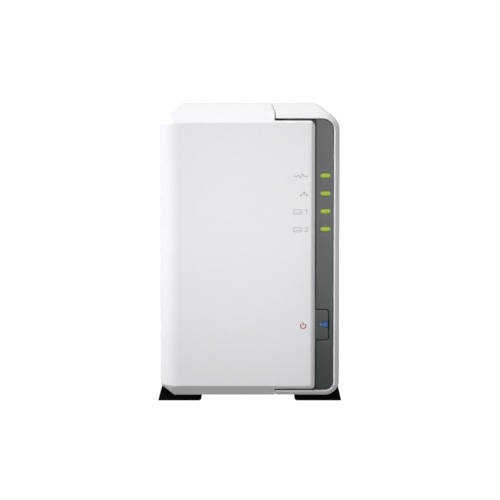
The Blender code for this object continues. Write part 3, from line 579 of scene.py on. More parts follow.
def cover_ring(y, x_right, level, left, corner_r=0.8, seg=4):
    c, w, h = LONG_CHAMFER, LOW_CHAMFER_W, LOW_CHAMFER_H
    run, low_run = max(left, left + level - c + 0.3), max(left, left + level * w / h - w + 0.3)
    points = [
        (x_right, BOTTOM + level),
        (x_right, TOP - level),
        (LEFT + c - level + run, TOP - level),
        (LEFT + left, TOP - c + left - run),
        (LEFT + left, BOTTOM + h + (low_run - left) * h / w),
        (LEFT + w + low_run - level * w / h, BOTTOM + level),
    ]
    r, low_r = min(corner_r, 1.5 * (c + run - level - left)), min(corner_r, 1.5 * (w + low_run - level * w / h - left))
    return [(x, y, z) for x, z in fillet(points, (0, 0, r, r, low_r, low_r), seg)]


def base_ring(y, inset, seg, x_left=BASE_EDGE):
    low, high = BASE_BOTTOM + inset * 0.9, TOP - inset * 1.38
    points = [(x_left, low), (RIGHT - inset, low), (RIGHT - inset, high), (x_left, high)]
    return [(x, y, z) for x, z in fillet(points, (0, BASE_CORNER_R - inset, BASE_TOP_CORNER_R - inset, 0), seg)]


def vents(x0, x1):
    first = -(VENT_COUNT - 1) * VENT_PITCH / 2
    mid, tall = (VENT_Z[0] + VENT_Z[1]) / 2, VENT_Z[1] - VENT_Z[0]
    return merged(*[
        prism([(first + k * VENT_PITCH + v, mid + u) for u, v in slot_outline(0, 0, tall, VENT_W, 7)], "X", x0, x1)
        for k in range(VENT_COUNT)
    ])


def flipped(points):
    return [(x, MIRROR_Z - z) for x, z in points]


def panel_corner(r, edge, way):
    """What is cut off beyond the front panel's top edge (way 1) or bottom edge (way -1)."""
    turn = [(PANEL_RIGHT - r + r * math.sin(a), edge - way * (r - r * math.cos(a))) for a in (math.pi / 2 * k / 12 for k in range(13))]
    return [(COVER_EDGE, edge + way * 15), (COVER_EDGE, edge)] + turn + [(45, edge - way * r), (45, edge + way * 15)]


# ---- the two shells --------------------------------------------------------
def make_cover():
    edge = chamfer_curve(FRONT_CHAMFER, 1.4, 1.0, 7)
    left = chamfer_curve(LEFT_CHAMFER, 2.0, 14.0, 14)
    right = chamfer_curve(PANEL_EDGE, 0.3, PANEL_EDGE_R, 8)
    rings = [cover_ring(REAR - 0.7 + 0.7 * math.sin(a), PANEL_RIGHT, 0.7 - 0.7 * math.cos(a), 0.7 - 0.7 * math.cos(a)) for a in (math.pi / 2 * k / 4 for k in range(4, -1, -1))]
    for d in depths_of(edge, left, right):
        rings.append(cover_ring(FACE + d, PANEL_RIGHT - inset_at(right, d), inset_at(edge, d), inset_at(left, d)))
    bm = loft(rings)
    upper, lower = panel_corner(PANEL_CORNER_TOP_R, PANEL_TOP, 1), panel_corner(PANEL_CORNER_LOW_R, PANEL_BOTTOM, -1)
    bm = cut(bm, prism(upper, "Y", -130, 130), prism(lower, "Y", -130, 130))
    bm = cut(bm, box(COVER_EDGE, 45, FRONT + 3.85, 130, -5, 180))
    wall = COVER_WALL
    deep = 0.414 * wall
    hollow = loft([
        cover_ring(FRONT + wall, SEAM_X + 0.4, FRONT_CHAMFER + deep, LEFT_CHAMFER + deep + 0.5),
        cover_ring(FRONT + FRONT_CHAMFER + deep, SEAM_X + 0.4, wall, wall),
        cover_ring(REAR + 6, SEAM_X + 0.4, wall, wall),
    ])
    bm = cut(bm, hollow, box(SEAM_X + 0.1, PANEL_RIGHT - 2.0, FRONT + wall + 0.1, FRONT + 8, PANEL_BOTTOM + 2.0, PANEL_TOP - 2.0))
    tab = [(9, 162.9), (9, 158.8), (17.3, 158.8), (17.3, 155.4), (19.5, 155.4), (19.5, 161.2), (13.6, 161.2), (13.6, 162.9)]
    bosses = rect(-33, -25, 155.2, 162.9)
    extra = []
    for shape in (tab, flipped(tab)):
        extra += [prism(shape, "Y", y - 6, y + 6) for y in TAB_Y]
    for shape in (bosses, flipped(bosses)):
        extra.append(prism(shape, "Y", 98.5, 108.3))
    bm = join(bm, merged(*extra))
    holes = [rod("Y", -29, z, 1.65, 100.5, 115, 20) for z in REAR_SCREW_Z]
    bm = cut(bm, merged(*holes, vents(LEFT - 4, LEFT + 5)))
    piece("cover_moulding", bm, WHITE, "cover", "cover_shell", sharp=30)


def make_base():
    edge = chamfer_curve(2.4, 0.9, 0.3, 6)
    rim = FRONT + RIM_SETBACK
    rings = [base_ring(REAR - 0.7 + 0.7 * math.sin(a), 0.7 - 0.7 * math.cos(a), 16) for a in (math.pi / 2 * k / 4 for k in range(4, -1, -1))]
    rings += [base_ring(rim + d, i, 16) for i, d in edge]
    bm = loft(rings)
    rings = []
    flare = 0.72
    for grow, y in ((flare, -130.0), (flare, rim), (flare * 0.5, rim + flare * 0.45), (0.0, rim + flare), (0.0, 130.0)):
        wall, r = BASE_WALL - grow, BASE_CORNER_R - BASE_WALL + grow
        outline = fillet(rect(5.0, RIGHT - wall, BOTTOM + BASE_WALL - 0.22, TOP - BASE_TOP_WALL), (0, r, r + BASE_TOP_CORNER_R - BASE_CORNER_R, 0), 16)
        rings.append([(x, y, z) for x, z in outline])
    bm = cut(bm, loft(rings))
    keeper = [(14.9, 158.1), (14.9, 152.6), (23.6, 152.6), (23.6, 162.6), (21.6, 162.6), (21.6, 154.4), (16.6, 154.4), (16.6, 158.1)]
    extra = []
    for shape in (keeper, flipped(keeper)):
        extra += [prism(shape, "Y", y - 7, y + 7) for y in TAB_Y]
    extra += [prism(rect(32, 40, 155.2, 162.6), "Y", 98.5, 108.3), prism(flipped(rect(16, 24, 155.2, 162.6))[::-1], "Y", 98.5, 108.3)]
    extra += [rod("X", y, z, 4.0, 24.5, 48.0, 28) for y, z in POST_YZ]
    extra += [rod("X", y, z, 3.0, 44.9, 48.0, 24) for y, z in STANDOFF_YZ]
    extra += [box(44.6, 47.5, -105.9, -103.9, a, b) for a, b in ((60, 66), (138, 146))]
    extra.append(box(COVER_EDGE + 0.05, BASE_EDGE + 0.4, rim + 1.6, rim + 9.0, BOTTOM + 0.9, BOTTOM + 2.5))
    bm = join(bm, merged(*extra))
    holes = [rod("X", y, z, 1.75, 20, 36, 16) for y, z in POST_YZ]
    holes += [rod("X", y, z, 1.75, 40, 48.4, 16) for y, z in STANDOFF_YZ]
    holes += [rod("Y", 36, REAR_SCREW_Z[0], 1.65, 100.5, 115, 16), rod("Y", 20, REAR_SCREW_Z[1], 1.65, 100.5, 115, 16)]
    bm = cut(bm, merged(*holes, vents(RIGHT - 5, RIGHT + 4)))
    piece("base_moulding", bm, WHITE, "base", "base_shell", sharp=30)


# ---- feet ------------------------------------------------------------------
def make_feet():
    slope = 0.284
    w, h = LOW_CHAMFER_W, LOW_CHAMFER_H
    clear = 1 - 0.3 * math.hypot(1 / w, 1 / h)
    apex = (LEFT + FOOT_HALF_W + w * (clear + BOTTOM / h)) / (slope + w / h)
    left = fillet(
        [(-FOOT_HALF_W, 0), (-27.5, 0), (-27.5, BOTTOM - 0.3), (LEFT + w * (clear + 0.3 / h), BOTTOM - 0.3), (slope * apex - FOOT_HALF_W, apex)],
        (0.3, 1.6, 0, 0, 0), 8)
    cx, cz, r = RIGHT - BASE_CORNER_R, BOTTOM + BASE_CORNER_R, BASE_CORNER_R + 0.3
    arc = [(cx + r * math.cos(math.radians(a)), cz + r * math.sin(math.radians(a))) for a in (-22.7 - 67.3 * k / 14 for k in range(15))]
    right = fillet(
        [(FOOT_HALF_W, 0)] + arc + [(25.5, BOTTOM - 0.3), (25.5, 0)], (0.3,) + (0,) * 16 + (1.6,), 8)
    for side, outline, body in (("left", left, "cover"), ("right", right, "base")):
        for place, y in zip(("front", "rear"), FOOT_Y):
            bm = soften(prism(outline, "Y", y - FOOT_LENGTH / 2, y + FOOT_LENGTH / 2), 0.2, 50.0, 3)
            piece(f"foot_pad_{place}_{side}", bm, RUBBER, body, f"foot_{place}_{side}")


# ---- front strip, lights, power button -------------------------------------
def shade_recesses(ob):
    """Painted shade: unpolished black on everything that is not level with the strip's glossy face, to darken its
    recesses and gaps.
    """
    ob.data.materials.append(BLACK_AND_SHADE)
    for face in ob.data.polygons:
        y = face.center.y / MM - BEZEL_FACE
        face.material_index = int(y > 0.3 or y < -0.02)


def make_front():
    back = BEZEL_FACE + BEZEL_THICK
    outline = fillet(rect(20.2, 46.75, 9.15, 161.2), (0.5, 4.5, 6.5, 0.5), 12)
    bm = prism(outline, "Y", BEZEL_FACE, back)
    # The groove under the panel's right edge and the three thin liners behind the gaps below and above the panel get
    # black from shade_recesses: painted shade in those gaps.
    bm = cut(bm, box(34.6, 37.2, -110, BEZEL_FACE + 1.5, 5, 170))
    bm = join(bm, box(15.6, 36.3, -109.7, -106.6, 8.64, 9.04), box(21.2, 36.3, -108.2, -106.6, 8.9, 9.6), box(20.6, 34.4, -109.8, -107.5, 160.5, 161.1))
    holes = [prism(oval_outline(LIGHT_X, z, LIGHT_W + 0.45, LIGHT_H + 0.45), "Y", -115, -100) for z in LIGHT_Z]
    opening = fillet(rect(32.4, 44.74, 36.52, 54.28), (0.6, 1.9, 1.9, 0.6), 8)
    bm = soften(cut(bm, merged(*holes, prism(opening, "Y", -115, -104))), 0.1)
    pegs = [(41.2, 66.0), (41.2, 88.0)]
    bm = join(bm, merged(*[rod("Y", x, z, 2.5, back - 0.5, -97.5, 24) for x, z in pegs]))
    bm = join(bm, merged(*[rod("Y", x, z, 1.2, -98.5, -94.8, 16) for x, z in pegs]))
    shade_recesses(piece("bezel_moulding", bm, GREY, "base", "front_bezel"))

    for name, z in zip(("status", "network", "drive_1", "drive_2"), LIGHT_Z):
        rings = []
        for inset, y in ((0.9, -0.10), (0.55, -0.06), (0.25, 0.05), (0.08, 0.2), (0.0, 0.45), (0.0, 9.5)):
            rings.append([(u, BEZEL_FACE + y, v) for u, v in oval_outline(LIGHT_X, z, LIGHT_W - inset * 2, LIGHT_H - inset * 2)])
        pipe = join(loft(rings), prism(oval_outline(LIGHT_X, z, LIGHT_W + 1.6, LIGHT_H + 1.6), "Y", back + 0.3, back + 1.5))
        piece(f"{name}_light_lens", pipe, GREEN, "base", f"{name}_light_pipe")

    cap = prism(fillet(rect(*BUTTON_X, *BUTTON_Z), (0.5, 1.5, 1.5, 0.5), 8), "Y", BEZEL_FACE, -104.5)
    notch = [(38.95, 44.77), (47.0, 43.02), (47.0, 48.62), (38.95, 46.52)]
    cap = soften(cut(cap, prism(notch, "Y", -115, -100)), 0.14, 35, 3)
    flange = cut(prism(rounded_rect(31.8, 45.6, 35.8, 55.0, 1.0), "Y", back + 0.6, -104.4), prism(notch, "Y", -115, -100))
    cap = join(cap, flange, rod("Y", 40.2, 51.1, 2.0, -105.0, -103.6, 24))
    # The key's sides and flange get black from shade_recesses: painted shade in the gap round the key.
    shade_recesses(piece("power_key", cap, GREY, "power_button", "power_button"))
    lens = fillet([(39.3, 45.0), (43.9, 44.0), (43.9, 47.5), (39.3, 46.3)], (0.5, 0.2, 0.2, 0.5), 6)
    piece("power_key_lens", soften(prism(lens, "Y", BEZEL_FACE - 0.05, -104.4), 0.12), BLUE, "power_button", "power_button_lens")

    body = join(block(37.2, 43.2, -101.0, -97.5, 48.1, 54.1, 0.25), turned("Y", 40.2, 51.1, ((1.5, -102.4), (1.7, -102.2), (1.7, -100.5)), 28))
    piece("power_switch_body", body, BLACK_AND_SHADE, "base", "power_switch")
    frame_plate = cut(block(37.0, 43.4, -101.15, -100.6, 47.9, 54.3, 0.12), rod("Y", 40.2, 51.1, 2.1, -104, -99, 28))
    piece("power_switch_plate", frame_plate, TIN, "base")

    laminate = cut(box(36.5, 45.8, -97.2, -95.6, 34, 136), merged(*[rod("Y", x, z, 1.6, -99, -94, 20) for x, z in pegs]))
    piece("led_board_laminate", soften(laminate, 0.08), PCB, "base", "led_board")
    lamps = [block(LIGHT_X - 1.6, LIGHT_X + 1.6, -98.4, -97.2, z - 0.8, z + 0.8, 0.15) for z in LIGHT_Z + (POWER_LIGHT_Z,)]
    piece("led_board_lamps", merged(*lamps), NYLON)
    piece("led_board_socket", merged(block(38, 44, -95.6, -92.8, 36, 48, 0.2)), NYLON)
    piece("led_board_chips", merged(block(38.5, 41.5, -95.6, -94.9, 72, 78, 0.12), block(38.5, 40.5, -95.6, -94.9, 104, 108, 0.12)), EPOXY)
    parts = [block(42.6, 43.6, -95.6, -95.1, z, z + 0.55, 0.06, 1) for z in (58, 60, 62, 74, 76, 94, 98, 104, 106, 112, 116, 126)]
    piece("led_board_resistors", merged(*parts), CERAMIC)


# ---- printed marks on the panel --------------------------------------------
def make_marks():
    right, width = 32.55, 0.35

    def drive(z):
        x = right - 8.0
        shell = fillet(rect(x, x + 4.6, z - 1.2, z + 1.2), (0.45,) * 4, 4)
        return [stroke(shell, 0.3, True), stroke(fillet(rect(x + 3.2, x + 3.75, z - 0.55, z), (0.2,) * 4, 3), 0.26, True), stroke([(x + 0.8, z - 0.3), (x + 2.2, z - 0.3)], 0.28)]

    z = LIGHT_Z[0]
    pulse = [(right - 8.2, z - 0.1), (right - 5.9, z - 0.1), (right - 5.2, z + 0.55), (right - 4.4, z - 1.15), (right - 3.2, z + 1.25), (right - 2.4, z - 0.1), (right, z - 0.1)]
    piece("mark_status", stroke(pulse, width), INK_GREY, "cover")
    z = LIGHT_Z[1]
    tree = [stroke([(right - 2.2, z + 0.45), (right - 2.2, z - 0.1)], 0.28), stroke([(right - 3.9, z - 0.45), (right - 3.9, z - 0.1), (right - 0.5, z - 0.1), (right - 0.5, z - 0.45)], 0.28)]
    tree += [stroke([(x, z - 0.85), (x + 1.0, z - 0.85)], 0.72) for x in (right - 4.4, right - 1.0)] + [stroke([(right - 2.75, z + 0.85), (right - 1.65, z + 0.85)], 0.76)]
    piece("mark_network", merged(*tree), INK_GREY, "cover")
    z = LIGHT_Z[2]
    one = [(right - 1.6, z + 0.7), (right - 0.75, z + 1.2), (right - 0.75, z - 1.2)]
    piece("mark_drive_1", merged(*drive(z), stroke(one, width)), INK_GREY, "cover")
    z = LIGHT_Z[3]
    two = [(right - 1.75, z + 0.6)] + [(right - 0.95 + 0.75 * math.cos(a), z + 0.5 + 0.72 * math.sin(a)) for a in (math.radians(150 - 195 * k / 9) for k in range(10))] + [(right - 1.75, z - 1.05), (right - 0.15, z - 1.05)]
    piece("mark_drive_2", merged(*drive(z), stroke(two, width)), INK_GREY, "cover")
    x, z = 29.97, 45.4
    bow = [(x + 1.5 * math.cos(a), z + 1.5 * math.sin(a)) for a in (math.radians(128 + 284 * k / 28) for k in range(29))]
    piece("mark_power", merged(stroke(bow, 0.62), stroke([(x, z + 0.3), (x, z + 2.0)], 0.6)), INK_RED, "cover")


# ---- drives and cage -------------------------------------------------------
def make_drives():
    outer = rounded_rect(*CAGE_X, *CAGE_Z, 1.6, 6)
    inner = rounded_rect(CAGE_X[0] + SHEET, CAGE_X[1] - SHEET, CAGE_Z[0] + SHEET, CAGE_Z[1] - SHEET, 0.7, 6)
    cage = cut(prism(outer, "Y", *CAGE_Y), prism(inner, "Y", -120, 70))
    side_windows = [prism(rounded_rect(-66, 26, 46, 118, 5, 8), "X", -44, -34), prism(rounded_rect(-68, 28, 50, 112, 5, 8), "X", 18, 30)]
    lid_windows = []
    for x in DRIVE_X:
        for z in (CAGE_Z[0], CAGE_Z[1]):
            lid_windows.append(prism(rounded_rect(x + 4, x + 22, -68, 10, 4, 8), "Z", z - 4, z + 4))
            lid_windows += [rod("Z", x + DRIVE_SCREW_X, y, 2.1, z - 4, z + 4, 24) for y in DRIVE_SCREW_Y]
    cage = cut(cage, merged(*side_windows), merged(*lid_windows))
    cage = cut(cage, merged(*[rod("X", y, z, 1.75, 20, 30, 20) for y, z in POST_YZ]))
    piece("cage_sheet", cage, STEEL, "base", "drive_cage")

    y0, y1, z0, z1 = DRIVE_Y, DRIVE_Y + DRIVE_L, DRIVE_Z, DRIVE_Z + DRIVE_W
    for n, x in enumerate(DRIVE_X, 1):
        body = soften(prism(rounded_rect(y0, y1, z0, z1, 3, 8), "X", x + 1.9, x + DRIVE_T - 2.2), 0.35)
        body = cut(body, box(x - 1, x + 8.2, 44.5, 55, 43, 88))
        threads = [rod("Z", x + DRIVE_SCREW_X, y, 1.75, a, b, 16) for y in DRIVE_SCREW_Y for a, b in ((z0 - 2, z0 + 5), (z1 - 5, z1 + 2))]
        ribs = [prism(rounded_rect(-88 + k * 11.0, -84 + k * 11.0, 60, 110, 1.6, 4), "X", x + 1, x + 2.7) for k in range(4)]
        body = cut(body, merged(*threads), merged(*ribs))
        piece(f"hard_drive_{n}_casting", body, CAST, "base", f"hard_drive_{n}")
        lid = fillet([(y0 + 3, z0 + 4), (y1 - 30, z0 + 4), (y1 - 6, z0 + 22), (y1 - 6, z1 - 4), (y0 + 3, z1 - 4)], (4, 10, 6, 6, 4), 8)
        plate = soften(prism(lid, "X", x + DRIVE_T - 2.15, x + DRIVE_T - 0.25), 0.4, 35, 3)
        groove = cut(rod("X", -44, 82, 33, x + DRIVE_T - 0.55, x + DRIVE_T + 1, 72), rod("X", -44, 82, 31.6, x + DRIVE_T - 2, x + DRIVE_T + 3, 72))
        dish = turned("X", -44, 82, ((6.0, x + DRIVE_T - 0.75), (6.6, x + DRIVE_T - 0.2), (6.6, x + DRIVE_T + 1)), 48)
        bay = prism(rounded_rect(4, 40, 62, 122, 3, 6), "X", x + DRIVE_T - 0.45, x + DRIVE_T + 1)
        plate = cut(plate, groove, dish, bay)
        piece(f"hard_drive_{n}_lid", plate, LID, "base")
        heads = []
        for y, z in ((y0 + 8, z0 + 9), (y0 + 8, z1 - 9), (-10, z0 + 9), (0, z1 - 9), (y1 - 12, z0 + 32), (y1 - 12, z1 - 10)):
            head = turned("X", y, z, ((2.1, x + DRIVE_T - 0.4), (2.1, x + DRIVE_T - 0.1), (1.8, x + DRIVE_T)), 28)
            star = [((1.0 if k % 2 else 0.72) * math.cos(math.pi * k / 6) + y, (1.0 if k % 2 else 0.72) * math.sin(math.pi * k / 6) + z) for k in range(12)]
            heads.append(cut(head, prism(star, "X", x + DRIVE_T - 0.25, x + DRIVE_T + 1)))
        piece(f"hard_drive_{n}_lid_screws", merged(*heads), SCREW, "base")
        piece(f"hard_drive_{n}_laminate", soften(box(x + 0.3, x + 1.6, -38, 43.5, 40, 122), 0.1), PCB_BLUE, "base", f"hard_drive_{n}_board")
        chips = [block(x - 0.6, x + 0.3, -10, 4, 74, 88, 0.15), block(x - 0.4, x + 0.3, 14, 22, 66, 76, 0.15), block(x - 0.4, x + 0.3, 12, 20, 98, 106, 0.15), block(x - 0.3, x + 0.3, -30, -24, 96, 101, 0.12)]
        piece(f"hard_drive_{n}_chips", merged(*chips), EPOXY)
        tiny = [block(x - 0.15, x + 0.3, -34 + 4.1 * k, -32.4 + 4.1 * k, 46 + (k * 7) % 23, 46.8 + (k * 7) % 23, 0.06, 1) for k in range(18)]
        piece(f"hard_drive_{n}_small_parts", merged(*tiny), CERAMIC)
        socket = cut(soften(box(x + 2.4, x + 7.6, 45.3, 56.2, 44.5, 86.5), 0.2), merged(box(x + 4.0, x + 5.6, 44, 50, 46, 63), box(x + 4.0, x + 5.6, 44, 50, 65, 85)))
        piece(f"drive_socket_{n}", socket, BLACK_AND_SHADE, "base", f"sata_socket_{n}")
        pins = [box(x + 4.05, x + 4.25, 45.6, 50.3, 46.8 + 1.27 * k, 47.4 + 1.27 * k) for k in range(12)] + [box(x + 4.05, x + 4.25, 45.6, 50.3, 65.8 + 1.27 * k, 66.4 + 1.27 * k) for k in range(15)]
        piece(f"drive_socket_{n}_contacts", merged(*pins), GOLD)

    link = prism([(-37, 38), (39.6, 38), (39.6, 54), (31, 54), (31, 120), (-37, 120)], "Y", 56.5, 58.1)
    link = cut(link, merged(prism(rounded_rect(-26, -8, 48, 112, 4, 8), "Y", 50, 65), prism(rounded_rect(8, 26, 60, 112, 4, 8), "Y", 50, 65)))
    piece("link_board_laminate", soften(link, 0.08), PCB, "base", "sata_link_board")
    tiny = [block(x, x + 1.6, 58.1, 58.6, z, z + 0.9, 0.06, 1) for x, z in ((-32, 46), (-32, 52), (-32, 60), (-31, 90), (-30, 114), (2, 46), (2, 54), (3, 70), (2, 104), (28, 80), (28, 92), (14, 44), (20, 44), (26, 48))]
    piece("link_board_small_parts", merged(*tiny), CERAMIC)


# ---- main board and rear sockets -------------------------------------------
def make_board():
    x0, x1 = BOARD_X
    laminate = cut(box(x0, x1, *BOARD_Y, *BOARD_Z), merged(*[rod("X", y, z, 1.75, 30, 50, 20) for y, z in STANDOFF_YZ]))
    piece("main_board_laminate", soften(laminate, 0.08), PCB, "base", "main_board")
    chips = [block(41.8, x0, -2, 22, 24, 48, 0.2), block(41.9, x0, 30, 42, 15, 25, 0.15), block(41.9, x0, 46, 58, 15, 25, 0.15), block(41.7, x0, 80, 87, 30, 37, 0.15), block(41.9, x0, -24, -16, 26, 32, 0.15), block(41.9, x0, -14, -8, 52, 57, 0.15)]
    piece("main_board_chips", merged(*chips), EPOXY)
    legs = [box(42.55, x0, y - 0.15, y + 0.15, z - 0.7, z) for y in (30.8 + 1.1 * k for k in range(10)) for z in (15.0, 25.7)]
    legs += [box(42.55, x0, y - 0.15, y + 0.15, z - 0.7, z) for y in (46.8 + 1.1 * k for k in range(10)) for z in (15.0, 25.7)]
    piece("main_board_chip_legs", merged(*legs), TIN)
    piece("main_board_coil", merged(block(40.0, x0, 64, 71, 38, 45, 0.6, 3), block(41.0, x0, -20, -15, 12.6, 17.2, 0.5, 3)), FERRITE)
    cans = [turned("X", y, z, ((3.0, x0), (3.0, 42.2), (2.8, 41.9), (3.0, 41.6), (3.0, 35.0), (2.6, 34.5)), 32) for y, z in ((68.5, 18.0), (84.0, 46.0))]
    piece("main_board_capacitors", merged(*cans), LID)
    sleeves = [cut(turned("X", y, z, ((3.12, 41.5), (3.12, 35.6)), 32), rod("X", y, z, 3.03, 30, 50, 32)) for y, z in ((68.5, 18.0), (84.0, 46.0))]
    piece("main_board_capacitor_sleeves", merged(*sleeves), LEAD)
    piece("cable_socket", block(40.4, x0, -29, -25.5, 35.5, 47.5, 0.2), NYLON)
    tiny = []
    for k in range(46):
        y, z = -22 + (k * 37) % 122, 13.5 + (k * 17) % 44
        if any(abs(y - a) < r + 2 and abs(z - b) < q + 2 for a, b, r, q in ((10, 36, 16, 16), (40, 45, 12, 12), (36, 20, 8, 7), (52, 20, 8, 7), (67.5, 41.5, 5, 5), (68.5, 18, 4, 4), (84, 46, 4, 4), (83.5, 33.5, 5, 5), (57.3, 46, 5, 12), (71.5, 29, 6, 5), (-20, 29, 5, 4), (-11, 54.5, 5, 4), (-17.5, 15, 4, 4), (-24, 17, 4, 4), (-24, 54, 4, 4), (78, 17, 4, 4), (78, 54, 4, 4), (100, 30, 13, 40))):
            continue
        tiny.append(block(42.5, x0, y, y + 1.6, z, z + 0.8, 0.06, 1))
    piece("main_board_small_parts", merged(*tiny), CERAMIC)
    holder = cut(turned("X", 40.0, 45.0, ((11.4, x0), (11.4, 39.4), (11.0, 39.0)), 56), rod("X", 40.0, 45.0, 10.4, 30, 42.7, 56), box(30, 42.6, 36.5, 43.5, 54, 60))
    piece("cell_holder", holder, BLACK_AND_SHADE)
    piece("cell_clip", block(38.6, 39.1, 37.4, 42.6, 44.0, 56.0, 0.1), TIN)
    cell = turned("X", 40.0, 45.0, ((9.2, 42.4), (10.05, 41.9), (10.05, 39.9), (9.6, 39.35), (8.4, 39.3)), 56)
    piece("cell_can", cell, CELL, "base", "coin_cell")

    sink = box(39.0, 41.5, -5, 25, 21, 51)
    fins = [box(29.5, 39.5, -5 + k * 4.08, -5 + k * 4.08 + 1.4, 21, 51) for k in range(1, 7)]
    fins += [box(29.5, 39.5, -4.99, -3.6, 21.0, 51.0), box(29.5, 39.5, 23.6, 24.99, 21.0, 51.0)]
    bm = cut(join(sink, merged(*fins)), box(20, 39.0, -10, 30, 35.2, 36.8))
    piece("heat_sink_fins", soften(bm, 0.12), SINK, "base", "cpu_heat_sink")

    slot = cut(soften(box(35, 42.7, 53.9, 60.7, 35.5, 56.5), 0.25), box(30, 40.1, 56.1, 58.5, 37.5, 54.5))
    piece("board_slot", slot, BLACK_AND_SHADE, "base", "link_board_slot")
    pins = [box(35.2, 40.0, y, y + 0.12, 38.2 + 1.0 * k, 38.7 + 1.0 * k) for k in range(16) for y in (56.12, 58.36)]
    piece("board_slot_contacts", merged(*pins), GOLD)

    shield = soften(box(29.2, 42.7, 89, 110.9, 42.6, 58.6), 0.35, 35, 3)
    mouth = [(31.6, 44.7), (40.4, 44.7), (40.4, 56.5), (31.6, 56.5), (31.6, 53.6), (30.2, 53.6), (30.2, 47.6), (31.6, 47.6)]
    big = [(31.2, 44.3), (40.8, 44.3), (40.8, 56.9), (31.2, 56.9), (31.2, 54.0), (29.8, 54.0), (29.8, 47.2), (31.2, 47.2)]
    shield = cut(shield, prism(big, "Y", 97.0, 120), merged(box(29.0, 30.9, 109.6, 112, 43.2, 46.4), box(29.0, 30.9, 109.6, 112, 54.8, 58.0)))
    piece("network_jack_shield", shield, TIN, "base", "lan_jack")
    liner = cut(prism(big, "Y", 97.2, 110.7), prism(mouth, "Y", 98.2, 120))
    piece("network_jack_liner", soften(liner, 0.1), BLACK_AND_SHADE, "base")
    wires = [sweep(smooth_path([(40.1, 110.0, z), (39.4, 109.6, z), (37.4, 104.0, z), (36.6, 100.2, z), (37.2, 98.4, z)], 6), 0.2, 8) for z in (47.03 + 1.02 * k for k in range(8))]
    piece("network_jack_contacts", merged(*wires), GOLD)
    piece("network_jack_window_green", block(29.3, 30.8, 109.7, 110.95, 43.3, 46.3, 0.15), PALE_GREEN)
    piece("network_jack_window_amber", block(29.3, 30.8, 109.7, 110.95, 54.9, 57.9, 0.15), AMBER)
    fingers = [soften(prism([(29.2 - 0.02, 104.0), (28.75, 107.4), (29.0, 109.2), (29.2 - 0.02, 109.2)], "Z", z, z + 3.2), 0.05) for z in (45.2, 52.8)]
    piece("network_jack_springs", merged(*fingers), TIN)

    usb = soften(box(27.8, 42.7, 92, 110.9, 22.4, 36), 0.35, 35, 3)
    usb = cut(usb, merged(*[prism(rounded_rect(a, a + 5.2, 23.2, 35.2, 0.35, 4), "Y", 96, 120) for a in (29.2, 36.2)]))
    piece("usb_jack_shell", usb, TIN, "base", "usb_jack")
    piece("usb_jack_tongues", merged(*[block(a, a + 1.9, 96.1, 108.9, 23.8, 34.6, 0.2) for a in (30.3, 37.3)]), BLUE_INSERT)
    strips = [block(a + 1.9, a + 2.05, 97.5, 108.2, z, z + 1.1, 0.05, 1) for a in (30.3, 37.3) for z in (25.1, 27.6, 30.1, 32.4)]
    piece("usb_jack_contacts", merged(*strips), GOLD)

    dc = cut(soften(box(31.8, 42.7, 95, 110.9, 12.0, 20.4), 0.3, 35, 3), turned("Y", 37.25, 16.2, ((3.2, 99), (3.2, 110.3), (3.6, 110.95), (3.6, 114)), 48))
    piece("power_jack_housing", dc, BLACK_AND_SHADE, "base", "dc_power_jack")
    pin = turned("Y", 37.25, 16.2, ((1.0, 99.0), (1.0, 108.6), (0.85, 109.2), (0.45, 109.4)), 28)
    piece("power_jack_pin", pin, SCREW, "base")
    sleeve = cut(rod("Y", 37.25, 16.2, 3.18, 99.1, 106.0, 48), rod("Y", 37.25, 16.2, 2.95, 90, 120, 48))
    piece("power_jack_sleeve", sleeve, TIN, "base")

    rx, rz = RESET_XZ
    switch = cut(soften(box(37.2, 42.7, 97, 104.5, 37.2, 41.4), 0.25), rod("Y", rx, rz, 1.4, 101.4, 110, 28))
    piece("reset_switch_body", switch, BLACK_AND_SHADE, "base", "reset_switch")
    button = turned("Y", rx, rz, ((1.0, 102.3), (1.0, 107.9), (0.7, 108.2)), 28)
    piece("reset_key", button, BLACK_AND_SHADE, "reset_button", "reset_button")


